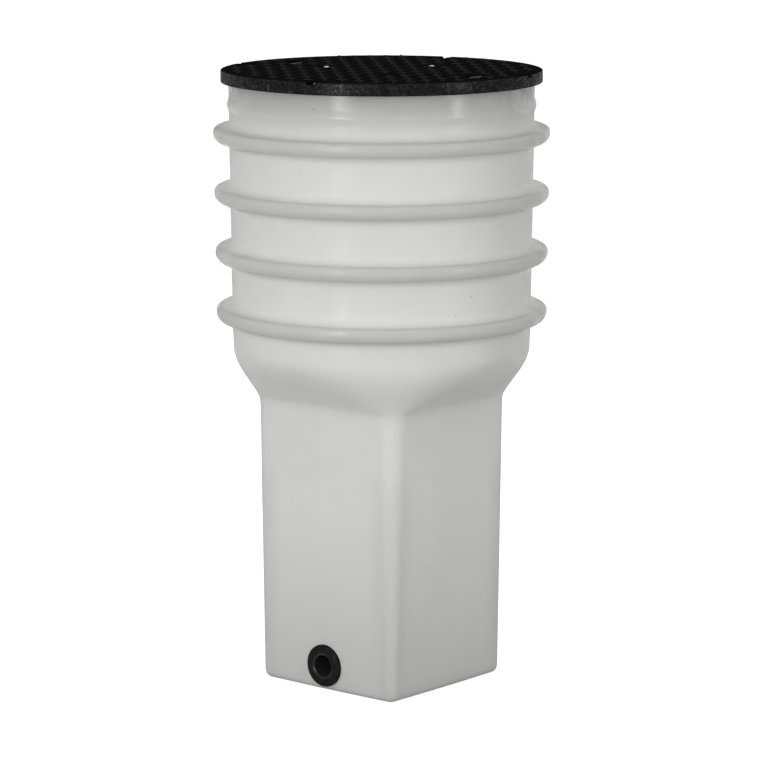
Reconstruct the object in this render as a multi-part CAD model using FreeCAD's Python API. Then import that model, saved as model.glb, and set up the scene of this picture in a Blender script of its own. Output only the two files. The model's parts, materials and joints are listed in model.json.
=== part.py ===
"""Water meter chamber: a ribbed round barrel on a square foot, a bolted tread lid and the meter set inside.

Millimetres, +Z up. The origin is the middle of the foot's underside, and the foot's faces look along X and Y.
The supply pipe comes in through the -Y face and leaves through the +Y face. The meter set hangs across the
barrel, turned so that its two pipe couplings stand over corners of the foot.
"""
import FreeCAD, Part
import math
import os

# Barrel
BODY_HEIGHT = 1137.0
BARREL_HEIGHT = 490.0
WALL = 8.0
RIM_RADIUS = 285.5
BARREL_DRAFT = 0.7
BEAD_HEIGHT = 60.0
BEAD_RELIEF = 2.6
FLANGE = 10.0
MOUTH_INSET = 35.5

# Stiffening rings round the barrel
RING_COUNT = 4
FIRST_RING_DROP = 92.0
LAST_RING_RISE = 62.0
RING_REACH = 30.0
RING_NOSE = 10.5
RING_FILLET = 14.0
RING_UPPER_SLOPE = 9.0
RING_LOWER_SLOPE = 36.0

# Shoulder and square foot
SHOULDER_HEIGHT = 107.0
SHOULDER_SECTIONS = 7
FOOT_HALF_TOP = 174.0
FOOT_HALF_BOTTOM = 164.0
FOOT_CORNER_TOP = 34.0
FOOT_CORNER_BOTTOM = 17.0
FOOT_EDGE = 14.0
FACE_CROWN = 1.5

# Lid
LID_OVERHANG = 14.5
LID_EDGE = 22.0
LID_SKIN = 10.0
LID_CHAMFER = 1.5
SPIGOT_DEPTH = 8.0
SPIGOT_WALL = 8.0
SPIGOT_CLEARANCE = 4.0
RIB_COUNT = 8
RIB_WIDTH = 6.0
RIB_RING_RADIUS = 165.0

# Tread on the lid
TREAD_HEIGHT = 2.5
TREAD_PITCH = 30.0
TREAD_LENGTH = 27.0
TREAD_WIDTH = 10.0
TREAD_TOP_SHARE = 0.55
TREAD_MARGIN = 6.0
TREAD_TURN = 45.0

# Lid bolts, their threaded inserts and the seal
BOLT_COUNT = 4
BOLT_TURN = 15.0
BOLT_INSET = 13.5
BOLT_RADIUS = 4.0
BOLT_HEAD_ACROSS = 13.0
BOLT_HEAD_HEIGHT = 5.3
BOLT_HOLE_CLEARANCE = 0.5
BOLT_WASHER_RADIUS = 8.5
BOLT_WASHER_HEIGHT = 1.6
BOLT_RECESS_RADIUS = 11.0
BOLT_RECESS_DEPTH = 10.0
NOTCH_WIDTH = 19.0
NOTCH_DEPTH = 4.5
INSERT_RADIUS = 7.0
INSERT_LENGTH = 18.0
INSERT_BOSS_RADIUS = 12.0
INSERT_BOSS_FLOOR = 4.0
BOLT_TIP_GAP = 2.0
SEAL_OFFSET = 6.0
SEAL_WIDTH = 6.0
SEAL_HEIGHT = 4.0

# Lifting pockets in the lid
POCKET_INSET = 31.0
POCKET_ALONG_X = 38.0
POCKET_ALONG_Y = 50.0
POCKET_DEPTH = 16.0
POCKET_WALL = 5.0
POCKET_CORNER = 8.0
LIFT_BAR_RADIUS = 4.5
LIFT_BAR_COVER = 1.5
LIFT_BAR_BITE = 4.0

# Insulation disc under the lid, hung on three screws
DISC_THICKNESS = 50.0
DISC_CLEARANCE = 2.0
DISC_CHAMFER = 4.0
SCREW_COUNT = 3
SCREW_TURN = 75.0
SCREW_CIRCLE = 114.0
SCREW_RADIUS = 3.0
SCREW_HOLE_CLEARANCE = 0.4
SCREW_HEAD_RADIUS = 6.5
SCREW_HEAD_HEIGHT = 4.0
SCREW_RECESS_CLEARANCE = 1.5
SCREW_RECESS_DEPTH = 5.0
SCREW_BOSS_RADIUS = 14.0
DISC_WASHER_RADIUS = 18.0
DISC_WASHER_HEIGHT = 2.0
DISC_NUT_ACROSS = 10.0
DISC_NUT_HEIGHT = 5.0
SCREW_TAIL = 3.0

# Rubber pipe grommets in the foot
PIPE_RADIUS = 16.0
GROMMET_LEVEL = 49.0
GROMMET_FLANGE_RADIUS = 40.0
GROMMET_FLANGE = 9.0
GROMMET_MOUTH_RADIUS = 20.0
GROMMET_HOLE_RADIUS = 28.0
GROMMET_LIP_RADIUS = 33.0
GROMMET_LIP = 6.0
GROMMET_SLEEVE = 34.0
GROMMET_SLEEVE_WALL = 3.5
GROMMET_SEAL_LENGTH = 8.0
GROMMET_EDGE = 3.0

# Meter bracket, sprung into the lowest ring
BRACKET_GRIP = 12.0
BRACKET_WIDTH = 84.0
BRACKET_SHEET = 3.0
BRACKET_FLANGE = 18.0
BRACKET_CLEARANCE = 0.2
METER_TURN = 45.0

# Pipe threads and turning fits of the meter set
THREAD_RADIUS = 16.6
THREAD_CLEARANCE = 0.05
FLOW_RADIUS = 10.0
RUNNING_FIT = 0.06

# Elbow under each valve
ELBOW_BEND = 25.0
ELBOW_RADIUS = 14.0
ELBOW_COLLAR_RADIUS = 22.0
ELBOW_COLLAR = 5.0
ELBOW_TAIL = 36.0
ELBOW_NECK = 5.0
ELBOW_SPIGOT = 10.0
ELBOW_STOP = 4.0
LOCKNUT_ACROSS = 42.0
LOCKNUT_HEIGHT = 9.0

# Compression coupling for the pipe
COUPLING_RADIUS = 23.0
COUPLING_LENGTH = 62.0
COUPLING_WALL = 4.0
COUPLING_NUT_RADIUS = 29.0
COUPLING_NUT_LENGTH = 34.0
COUPLING_NUT_FLUTES = 12
COUPLING_FLUTE_RADIUS = 3.0
COUPLING_PIPE_CLEARANCE = 0.3
COUPLING_MOUTH = 4.0

# Ball valve
VALVE_LENGTH = 54.0
VALVE_RADIUS = 21.0
VALVE_HEX_ACROSS = 38.0
VALVE_HEX_LENGTH = 12.0
VALVE_BONNET_RADIUS = 9.0
VALVE_BONNET_HEIGHT = 8.0
BALL_RADIUS = 14.0
BALL_CLEARANCE = 0.4
SEAT_WIDTH = 3.0
SEAT_RADIUS = 13.0
TAIL_RADIUS = 12.6
TAIL_LENGTH = 15.0
TAIL_COLLAR_RADIUS = 15.4
TAIL_COLLAR = 3.0
STEM_RADIUS = 4.0
STEM_TONGUE = 4.0
STEM_TONGUE_DEPTH = 3.0
STEM_SQUARE = 5.0
STEM_TOP = 7.0
HANDLE_LENGTH = 62.0
HANDLE_WIDTH = 16.0
HANDLE_SHEET = 4.0
HANDLE_NUT_ACROSS = 10.0
HANDLE_NUT_HEIGHT = 4.0

# Union nuts between the valves and the meter
UNION_ACROSS = 41.0
UNION_LENGTH = 24.0
UNION_SHOULDER = 4.0
UNION_GASKET = 2.0

# Meter
METER_LENGTH = 190.0
METER_THREAD_LENGTH = 18.0
METER_PIPE_RADIUS = 14.0
METER_BOWL_RADIUS = 42.0
METER_BOWL_BELOW = 24.0
METER_BOWL_ABOVE = 26.0
METER_BOWL_WALL = 6.0
REGISTER_RADIUS = 39.0
REGISTER_HEIGHT = 26.0
REGISTER_WALL = 3.0
REGISTER_FLOOR = 3.0
DIAL_DEPTH = 9.0
DIAL_THICKNESS = 1.5
GLASS_THICKNESS = 4.0
GLASS_CLEARANCE = 0.2
FLAP_THICKNESS = 3.0
FLAP_GAP = 0.4
FLAP_PIN_RADIUS = 1.5
FLAP_KNUCKLE_RADIUS = 4.0
FLAP_KNUCKLE_LENGTH = 14.0
FLAP_LUG_LENGTH = 6.0
FLAP_SIDE_GAP = 0.4
FLAP_TAB = 6.0

Z_AXIS = FreeCAD.Vector(0, 0, 1)
ORIGIN = FreeCAD.Vector(0, 0, 0)

# Levels and places that several pieces share
SEAT_LEVEL = BODY_HEIGHT
LID_TOP = SEAT_LEVEL + LID_EDGE
SHOULDER_TOP = BODY_HEIGHT - BARREL_HEIGHT
FOOT_HEIGHT = SHOULDER_TOP - SHOULDER_HEIGHT
RING_PITCH = (BARREL_HEIGHT - FIRST_RING_DROP - LAST_RING_RISE) / (RING_COUNT - 1)
BORE_LEVEL = SEAT_LEVEL - FLANGE
MOUTH_RADIUS = RIM_RADIUS - MOUTH_INSET
LID_RADIUS = RIM_RADIUS + LID_OVERHANG
BOLT_CIRCLE = RIM_RADIUS - BOLT_INSET
SEAL_RADIUS = MOUTH_RADIUS + SEAL_OFFSET
POCKET_REACH = MOUTH_RADIUS - POCKET_INSET
SPIGOT_RADIUS = MOUTH_RADIUS - SPIGOT_CLEARANCE
INSERT_BOSS_DEPTH = INSERT_LENGTH + INSERT_BOSS_FLOOR
FOOT_TAPER = (FOOT_HALF_TOP - FOOT_HALF_BOTTOM) / FOOT_HEIGHT
GROMMET_FACE = FOOT_HALF_BOTTOM + FOOT_TAPER * GROMMET_LEVEL


def vec(x, y, z):
    return FreeCAD.Vector(x, y, z)


def sin_deg(angle):
    return math.sin(math.radians(angle))


def cos_deg(angle):
    return math.cos(math.radians(angle))


def tan_deg(angle):
    return math.tan(math.radians(angle))


def turned(points):
    """A solid of revolution about Z from a closed outline of (radius, height) points."""
    corners = [vec(radius, 0, height) for radius, height in points]
    outline = Part.makePolygon(corners + corners[:1])
    return Part.Face(outline).revolve(ORIGIN, Z_AXIS, 360)


def along_y(shape):
    """Lay a piece that was turned about Z along Y, with its top towards +Y."""
    return shape.rotated(ORIGIN, vec(1, 0, 0), -90)


def tube(outer, inner, low, high):
    return turned([(inner, low), (outer, low), (outer, high), (inner, high)])


def rod(radius, low, high):
    return Part.makeCylinder(radius, high - low, vec(0, 0, low))


def hexagon(across, low, high):
    """A hexagonal prism about Z, with flats facing X."""
    corner = across / 2 / cos_deg(30)
    points = [vec(corner * cos_deg(60 * k + 30), corner * sin_deg(60 * k + 30), low) for k in range(6)]
    return Part.Face(Part.makePolygon(points + points[:1])).extrude(vec(0, 0, high - low))


def ring_of(shape, count, radius, first_angle):
    """Copies of a shape on a circle about Z."""
    copies = []
    for k in range(count):
        copy = shape.translated(vec(radius, 0, 0))
        copies.append(copy.rotated(ORIGIN, Z_AXIS, first_angle + 360.0 * k / count))
    return copies


def bolt_ring(shape):
    return ring_of(shape, BOLT_COUNT, BOLT_CIRCLE, BOLT_TURN)


def screw_ring(shape):
    return ring_of(shape, SCREW_COUNT, SCREW_CIRCLE, SCREW_TURN)


def save(name, shape):
    shape.exportStep("parts/" + name + ".step")


def save_group(name, shapes):
    save(name, Part.makeCompound(shapes))


# Barrel

def wall_radius(level):
    """Outside of the plain barrel wall, which narrows downwards by the mould's draft."""
    return RIM_RADIUS - (BODY_HEIGHT - level) * tan_deg(BARREL_DRAFT)


def ring_level(index):
    return BODY_HEIGHT - FIRST_RING_DROP - index * RING_PITCH


def ring_edges(index, inset):
    """One hollow stiffening ring, from the wall above it to the crease below it."""
    level = ring_level(index)
    wall = wall_radius(level) - inset
    nose = RING_NOSE - inset
    fillet = RING_FILLET + inset
    centre = vec(wall_radius(level) + RING_REACH - RING_NOSE, 0, level)
    upper_tip = centre + vec(sin_deg(RING_UPPER_SLOPE), 0, cos_deg(RING_UPPER_SLOPE)) * nose
    lower_tip = centre + vec(sin_deg(RING_LOWER_SLOPE), 0, -cos_deg(RING_LOWER_SLOPE)) * nose
    upper_root = vec(wall, 0, upper_tip.z + (upper_tip.x - wall) * tan_deg(RING_UPPER_SLOPE))
    lower_root = vec(wall, 0, lower_tip.z - (lower_tip.x - wall) * tan_deg(RING_LOWER_SLOPE))
    run = fillet / tan_deg((90 + RING_UPPER_SLOPE) / 2)
    start = upper_root + vec(0, 0, run)
    end = upper_root + vec(cos_deg(RING_UPPER_SLOPE), 0, -sin_deg(RING_UPPER_SLOPE)) * run
    bend = start + vec(fillet, 0, 0)
    middle = bend + (upper_root - bend).normalize() * fillet
    return [
        Part.Arc(start, middle, end),
        Part.LineSegment(end, upper_tip),
        Part.Arc(upper_tip, centre + vec(nose, 0, 0), lower_tip),
        Part.LineSegment(lower_tip, lower_root),
    ]


def barrel(inset, top, relief):
    """The barrel as a solid, set in from the outside by inset, from the shoulder up to top."""
    first = ring_edges(0, inset)
    shoulder_top = SHOULDER_TOP + shoulder_lift(inset)
    rim = vec(wall_radius(top) - inset, 0, top)
    bead_end = vec(wall_radius(top) - inset, 0, top - BEAD_HEIGHT)
    bead_middle = (rim + bead_end) * 0.5 + vec(relief, 0, 0)
    bead = Part.Arc(rim, bead_middle, bead_end) if relief else Part.LineSegment(rim, bead_end)
    edges = [Part.LineSegment(vec(0, 0, top), rim), bead]
    edges.append(Part.LineSegment(bead_end, first[0].StartPoint))
    for index in range(RING_COUNT):
        edges += ring_edges(index, inset)
        foot = edges[-1].EndPoint
        if index + 1 < RING_COUNT:
            edges.append(Part.LineSegment(foot, ring_edges(index + 1, inset)[0].StartPoint))
    last = vec(wall_radius(SHOULDER_TOP) - inset, 0, shoulder_top)
    edges.append(Part.LineSegment(foot, last))
    edges.append(Part.LineSegment(last, vec(0, 0, shoulder_top)))
    edges.append(Part.LineSegment(vec(0, 0, shoulder_top), vec(0, 0, top)))
    outline = Part.Wire([edge.toShape() for edge in edges])
    return Part.Face(outline).revolve(ORIGIN, Z_AXIS, 360)


# Shoulder and foot

def shoulder_lift(inset):
    """The inside of the shoulder lies a little higher, so that its slope keeps the wall's thickness."""
    return inset / 2


def section(half, corner, level):
    """A square outline with crowned sides and round corners, as eight arcs that meet smoothly."""
    c = cos_deg(FACE_CROWN)
    s = sin_deg(FACE_CROWN)
    crown = (half - corner * (c - s)) / (1 - c + s)
    offset = (crown - corner) * s
    arcs = []
    for side in range(4):
        for centre, radius, angles in (
            (vec(half - crown, 0, 0), crown, (-FACE_CROWN, 0, FACE_CROWN)),
            (vec(offset, offset, 0), corner, (FACE_CROWN, 45, 90 - FACE_CROWN)),
        ):
            points = [centre + vec(radius * cos_deg(a), radius * sin_deg(a), level) for a in angles]
            arc = Part.Arc(*points).toShape()
            arcs.append(arc.rotated(ORIGIN, Z_AXIS, 90 * side))
    return Part.Wire(arcs)


def shoulder(inset):
    """The smooth change from the round barrel to the square foot."""
    round_radius = wall_radius(SHOULDER_TOP)
    sections = []
    for k in range(SHOULDER_SECTIONS):
        depth = k / (SHOULDER_SECTIONS - 1)
        share = depth * depth * (3 - 2 * depth)
        half = round_radius + (FOOT_HALF_TOP - round_radius) * share
        corner = round_radius + (FOOT_CORNER_TOP - round_radius) * share
        level = SHOULDER_TOP - depth * SHOULDER_HEIGHT + shoulder_lift(inset)
        sections.append(section(half - inset, corner - inset, level))
    return Part.makeLoft(sections, True)


def foot(inset):
    """The tapered square foot with a rounded lower edge."""
    top = section(FOOT_HALF_TOP - inset, FOOT_CORNER_TOP - inset, FOOT_HEIGHT + shoulder_lift(inset))
    low = section(FOOT_HALF_BOTTOM - inset, FOOT_CORNER_BOTTOM - inset, inset)
    block = Part.makeLoft([top, low], True, True)
    low_edges = [edge for edge in block.Edges if abs(edge.BoundBox.ZMax - inset) < 1e-6]
    return block.makeFillet(FOOT_EDGE - inset, low_edges)


def hollow(inset):
    """The inside of the chamber below the rim flange, set in from the outside by inset."""
    return barrel(inset, BORE_LEVEL, 0).fuse([shoulder(inset), foot(inset)])


def grommet_axis(shape):
    return along_y(shape).translated(vec(0, 0, GROMMET_LEVEL))


def chamber_body():
    outside = barrel(0, BODY_HEIGHT, BEAD_RELIEF).fuse([shoulder(0), foot(0)])
    boss = rod(INSERT_BOSS_RADIUS, SEAT_LEVEL - INSERT_BOSS_DEPTH, BORE_LEVEL)
    space = hollow(WALL).cut(Part.makeCompound(bolt_ring(boss)))
    mouth = rod(MOUTH_RADIUS, BORE_LEVEL - WALL, SEAT_LEVEL)
    insert_hole = rod(INSERT_RADIUS, SEAT_LEVEL - INSERT_LENGTH, SEAT_LEVEL)
    pipe_hole = grommet_axis(rod(GROMMET_HOLE_RADIUS, -RIM_RADIUS, RIM_RADIUS))
    return outside.cut([space, mouth, pipe_hole] + bolt_ring(insert_hole))


# Lid

def pocket_outline(margin, low, high):
    """An upright block with round corners, as long and wide as a lifting pocket plus a margin."""
    x = POCKET_ALONG_X / 2 + margin
    y = POCKET_ALONG_Y / 2 + margin
    block = Part.makeBox(2 * x, 2 * y, high - low, vec(-x, -y, low))
    upright = [edge for edge in block.Edges if edge.BoundBox.ZLength > (high - low) / 2]
    return block.makeFillet(POCKET_CORNER + margin, upright)


def pockets(margin, low, high):
    block = pocket_outline(margin, low, high)
    return ring_of(block, 2, POCKET_REACH, 0)


def lift_bar_level():
    return LID_TOP - LIFT_BAR_COVER - LIFT_BAR_RADIUS


def lift_bars(radius):
    half = POCKET_ALONG_Y / 2 + LIFT_BAR_BITE
    bar = along_y(rod(radius, -half, half)).translated(vec(0, 0, lift_bar_level()))
    return ring_of(bar, 2, POCKET_REACH, 0)


def tread_stud():
    """One raised lozenge with sloping sides, lying along X on the lid."""
    def lozenge(share, level):
        x = TREAD_LENGTH / 2 * share
        y = TREAD_WIDTH / 2 * share
        points = [vec(x, 0, level), vec(0, y, level), vec(-x, 0, level), vec(0, -y, level)]
        return Part.makePolygon(points + points[:1])
    return Part.makeLoft([lozenge(1, LID_TOP), lozenge(TREAD_TOP_SHARE, LID_TOP + TREAD_HEIGHT)], True, True)


def clear_of_fittings(x, y):
    """Whether a stud at this place keeps off the pockets, the screws, the bolts and the edge."""
    reach = TREAD_LENGTH / 2
    if math.hypot(x, y) + reach > LID_RADIUS - TREAD_MARGIN:
        return False
    pocket_x = POCKET_ALONG_X / 2 + reach
    pocket_y = POCKET_ALONG_Y / 2 + reach
    if abs(abs(x) - POCKET_REACH) < pocket_x and abs(y) < pocket_y:
        return False
    screw_gap = SCREW_HEAD_RADIUS + SCREW_RECESS_CLEARANCE + reach
    notch_gap = max(BOLT_RECESS_RADIUS, NOTCH_WIDTH / 2) + reach
    for count, radius, turn, gap in (
        (SCREW_COUNT, SCREW_CIRCLE, SCREW_TURN, screw_gap),
        (BOLT_COUNT, BOLT_CIRCLE, BOLT_TURN, notch_gap),
    ):
        for k in range(count):
            angle = turn + 360.0 * k / count
            if math.hypot(x - radius * cos_deg(angle), y - radius * sin_deg(angle)) < gap:
                return False
    return True


def tread():
    """Lozenges on a square grid, each turned a quarter from its neighbours."""
    stud = tread_stud()
    reach = int(LID_RADIUS / TREAD_PITCH) + 1
    studs = []
    for row in range(-reach, reach + 1):
        for column in range(-reach, reach + 1):
            place = vec(column * TREAD_PITCH, row * TREAD_PITCH, 0)
            angle = math.radians(TREAD_TURN)
            x = place.x * math.cos(angle) - place.y * math.sin(angle)
            y = place.x * math.sin(angle) + place.y * math.cos(angle)
            if clear_of_fittings(x, y):
                turn = 90 * ((row + column) % 2)
                copy = stud.rotated(ORIGIN, Z_AXIS, turn).translated(place)
                studs.append(copy.rotated(ORIGIN, Z_AXIS, TREAD_TURN))
    return studs


def lid():
    """A moulded cover: a thick seat rim, a thin skin stiffened by ribs, a spigot and the tread."""
    skin_under = LID_TOP - LID_SKIN
    inner = SPIGOT_RADIUS - SPIGOT_WALL
    plate = turned([
        (0, skin_under),
        (inner, skin_under),
        (inner, SEAT_LEVEL - SPIGOT_DEPTH),
        (SPIGOT_RADIUS, SEAT_LEVEL - SPIGOT_DEPTH),
        (SPIGOT_RADIUS, SEAT_LEVEL),
        (LID_RADIUS - LID_CHAMFER, SEAT_LEVEL),
        (LID_RADIUS, SEAT_LEVEL + LID_CHAMFER),
        (LID_RADIUS, LID_TOP - LID_CHAMFER),
        (LID_RADIUS - LID_CHAMFER, LID_TOP),
        (0, LID_TOP),
    ])
    rib_start = SCREW_CIRCLE
    rib = Part.makeBox(inner - rib_start + RIB_WIDTH, RIB_WIDTH, LID_EDGE - LID_SKIN,
                       vec(rib_start, -RIB_WIDTH / 2, SEAT_LEVEL))
    stiffeners = ring_of(rib, RIB_COUNT, 0, 180.0 / RIB_COUNT)
    stiffeners.append(tube(RIB_RING_RADIUS + RIB_WIDTH, RIB_RING_RADIUS, SEAT_LEVEL, skin_under))
    stiffeners.append(tube(SCREW_CIRCLE + RIB_WIDTH, SCREW_CIRCLE, SEAT_LEVEL, skin_under))
    stiffeners += screw_ring(rod(SCREW_BOSS_RADIUS, SEAT_LEVEL, skin_under))
    pocket_floor = LID_TOP - POCKET_DEPTH
    stiffeners += pockets(POCKET_WALL, pocket_floor - POCKET_WALL, skin_under)
    cover = plate.fuse(stiffeners + tread())
    bolt_floor = LID_TOP - BOLT_RECESS_DEPTH
    notch = Part.makeBox(LID_RADIUS, NOTCH_WIDTH, LID_EDGE, vec(0, -NOTCH_WIDTH / 2, LID_TOP - NOTCH_DEPTH))
    cuts = bolt_ring(rod(BOLT_RECESS_RADIUS, bolt_floor, LID_TOP + TREAD_HEIGHT))
    cuts += bolt_ring(rod(BOLT_RADIUS + BOLT_HOLE_CLEARANCE, SEAT_LEVEL, bolt_floor))
    cuts += bolt_ring(notch)
    head_hole = SCREW_HEAD_RADIUS + SCREW_RECESS_CLEARANCE
    screw_floor = LID_TOP - SCREW_RECESS_DEPTH
    cuts += screw_ring(rod(head_hole, screw_floor, LID_TOP + TREAD_HEIGHT))
    cuts += screw_ring(rod(SCREW_RADIUS + SCREW_HOLE_CLEARANCE, SEAT_LEVEL, screw_floor))
    cuts += pockets(0, pocket_floor, LID_TOP + TREAD_HEIGHT)
    cuts += lift_bars(LIFT_BAR_RADIUS)
    cuts.append(tube(SEAL_RADIUS + SEAL_WIDTH / 2, SEAL_RADIUS - SEAL_WIDTH / 2, SEAT_LEVEL,
                     SEAT_LEVEL + SEAL_HEIGHT))
    return cover.cut(cuts)


def lid_seal():
    return tube(SEAL_RADIUS + SEAL_WIDTH / 2, SEAL_RADIUS - SEAL_WIDTH / 2, SEAT_LEVEL,
                SEAT_LEVEL + SEAL_HEIGHT)


def bolt_washer():
    floor = LID_TOP - BOLT_RECESS_DEPTH
    return tube(BOLT_WASHER_RADIUS, BOLT_RADIUS + BOLT_HOLE_CLEARANCE, floor, floor + BOLT_WASHER_HEIGHT)


def lid_bolt():
    under_head = LID_TOP - BOLT_RECESS_DEPTH + BOLT_WASHER_HEIGHT
    head = hexagon(BOLT_HEAD_ACROSS, under_head, under_head + BOLT_HEAD_HEIGHT)
    return head.fuse(rod(BOLT_RADIUS, SEAT_LEVEL - INSERT_LENGTH + BOLT_TIP_GAP, under_head))


def rim_insert():
    return tube(INSERT_RADIUS, BOLT_RADIUS + THREAD_CLEARANCE, SEAT_LEVEL - INSERT_LENGTH, SEAT_LEVEL)


# Insulation disc and its screws

def disc_low():
    return SEAT_LEVEL - DISC_THICKNESS


def insulation_disc():
    radius = SPIGOT_RADIUS - SPIGOT_WALL - DISC_CLEARANCE
    disc = turned([
        (0, disc_low()),
        (radius - DISC_CHAMFER, disc_low()),
        (radius, disc_low() + DISC_CHAMFER),
        (radius, SEAT_LEVEL),
        (0, SEAT_LEVEL),
    ])
    return disc.cut(screw_ring(rod(SCREW_RADIUS + SCREW_HOLE_CLEARANCE, disc_low(), SEAT_LEVEL)))


def disc_screw():
    """A screw with a domed head that rests in its recess in the lid."""
    seat = LID_TOP - SCREW_RECESS_DEPTH
    tip = disc_low() - DISC_WASHER_HEIGHT - DISC_NUT_HEIGHT - SCREW_TAIL
    head = rod(SCREW_HEAD_RADIUS, seat, seat + SCREW_HEAD_HEIGHT)
    rim = [edge for edge in head.Edges if edge.BoundBox.ZMin > seat]
    head = head.makeFillet(SCREW_HEAD_HEIGHT / 2, rim)
    return head.fuse(rod(SCREW_RADIUS, tip, seat))


def disc_washer():
    return tube(DISC_WASHER_RADIUS, SCREW_RADIUS + SCREW_HOLE_CLEARANCE, disc_low() - DISC_WASHER_HEIGHT,
                disc_low())


def disc_nut():
    top = disc_low() - DISC_WASHER_HEIGHT
    nut = hexagon(DISC_NUT_ACROSS, top - DISC_NUT_HEIGHT, top)
    return nut.cut(rod(SCREW_RADIUS + THREAD_CLEARANCE, top - DISC_NUT_HEIGHT, top))


# Pipe grommet

def grommet(body):
    """A rubber sleeve in the +Y face: an outer flange, a groove for the wall and a tapered seal inside."""
    face = GROMMET_FACE
    inner_face = face - WALL
    tip = inner_face - GROMMET_SLEEVE
    seal_end = tip + GROMMET_SEAL_LENGTH
    outer_tip = PIPE_RADIUS + GROMMET_SLEEVE_WALL
    sleeve = turned([
        (PIPE_RADIUS, tip),
        (outer_tip, tip),
        (GROMMET_MOUTH_RADIUS + GROMMET_SLEEVE_WALL, inner_face - GROMMET_LIP),
        (GROMMET_LIP_RADIUS, inner_face - GROMMET_LIP),
        (GROMMET_LIP_RADIUS, face),
        (GROMMET_FLANGE_RADIUS, face - FACE_CROWN),
        (GROMMET_FLANGE_RADIUS, face + GROMMET_FLANGE - GROMMET_EDGE),
        (GROMMET_FLANGE_RADIUS - GROMMET_EDGE, face + GROMMET_FLANGE),
        (GROMMET_MOUTH_RADIUS + GROMMET_EDGE, face + GROMMET_FLANGE),
        (GROMMET_MOUTH_RADIUS, face + GROMMET_FLANGE - GROMMET_EDGE),
        (PIPE_RADIUS, seal_end),
    ])
    return grommet_axis(sleeve).cut(body)


# Meter bracket

def lowest_ring_flank(radius):
    """Height of the inner lower flank of the lowest ring at a distance from the axis."""
    edge = ring_edges(RING_COUNT - 1, WALL)[-1]
    return edge.StartPoint.z - (edge.StartPoint.x - radius) * tan_deg(RING_LOWER_SLOPE)


BRACKET_REACH = wall_radius(ring_level(RING_COUNT - 1)) - WALL + BRACKET_GRIP
BRACKET_TOP = lowest_ring_flank(BRACKET_REACH) + BRACKET_SHEET
FLOW_LEVEL = BRACKET_TOP + ELBOW_COLLAR + ELBOW_NECK + ELBOW_BEND

# Places along the flow, from the middle of the meter outwards
METER_END = METER_LENGTH / 2
TAIL_START = METER_END + UNION_GASKET
VALVE_START = TAIL_START + TAIL_LENGTH
VALVE_END = VALVE_START + VALVE_LENGTH
BALL_PLACE = VALVE_START + VALVE_LENGTH / 2
ELBOW_PLACE = VALVE_END + ELBOW_STOP + ELBOW_BEND
BONNET_TOP = FLOW_LEVEL + VALVE_RADIUS + VALVE_BONNET_HEIGHT
PLUG_RADIUS = BALL_RADIUS + BALL_CLEARANCE


def meter_bracket():
    """A folded channel across the barrel, its ends trimmed to the inside of the lowest ring."""
    low = BRACKET_TOP - BRACKET_FLANGE
    half = BRACKET_WIDTH / 2
    blank = Part.makeBox(BRACKET_WIDTH, 2 * BRACKET_REACH, BRACKET_FLANGE, vec(-half, -BRACKET_REACH, low))
    fold = [edge for edge in blank.Edges
            if edge.BoundBox.YLength > BRACKET_REACH and edge.BoundBox.ZMin > low]
    blank = blank.makeFillet(2 * BRACKET_SHEET, fold)
    web = Part.makeBox(BRACKET_WIDTH - 2 * BRACKET_SHEET, 2 * BRACKET_REACH, BRACKET_FLANGE - BRACKET_SHEET,
                       vec(-half + BRACKET_SHEET, -BRACKET_REACH, low))
    inner_fold = [edge for edge in web.Edges
                  if edge.BoundBox.YLength > BRACKET_REACH and edge.BoundBox.ZMin > low]
    channel = blank.cut(web.makeFillet(BRACKET_SHEET, inner_fold))
    hole = rod(THREAD_RADIUS + THREAD_CLEARANCE, low, BRACKET_TOP)
    holes = [hole.translated(vec(0, side * ELBOW_PLACE, 0)) for side in (-1, 1)]
    return channel.common(hollow(WALL + BRACKET_CLEARANCE)).cut(holes)


# Pieces of one side of the meter set, made on the +Y side

def on_flow(points):
    """A piece turned about the flow axis, from (radius, distance along Y) points."""
    return along_y(turned(points)).translated(vec(0, 0, FLOW_LEVEL))


def flow_hexagon(across, start, end):
    return along_y(hexagon(across, start, end)).translated(vec(0, 0, FLOW_LEVEL))


def upright(shape, place):
    return shape.translated(vec(0, place, 0))


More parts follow.
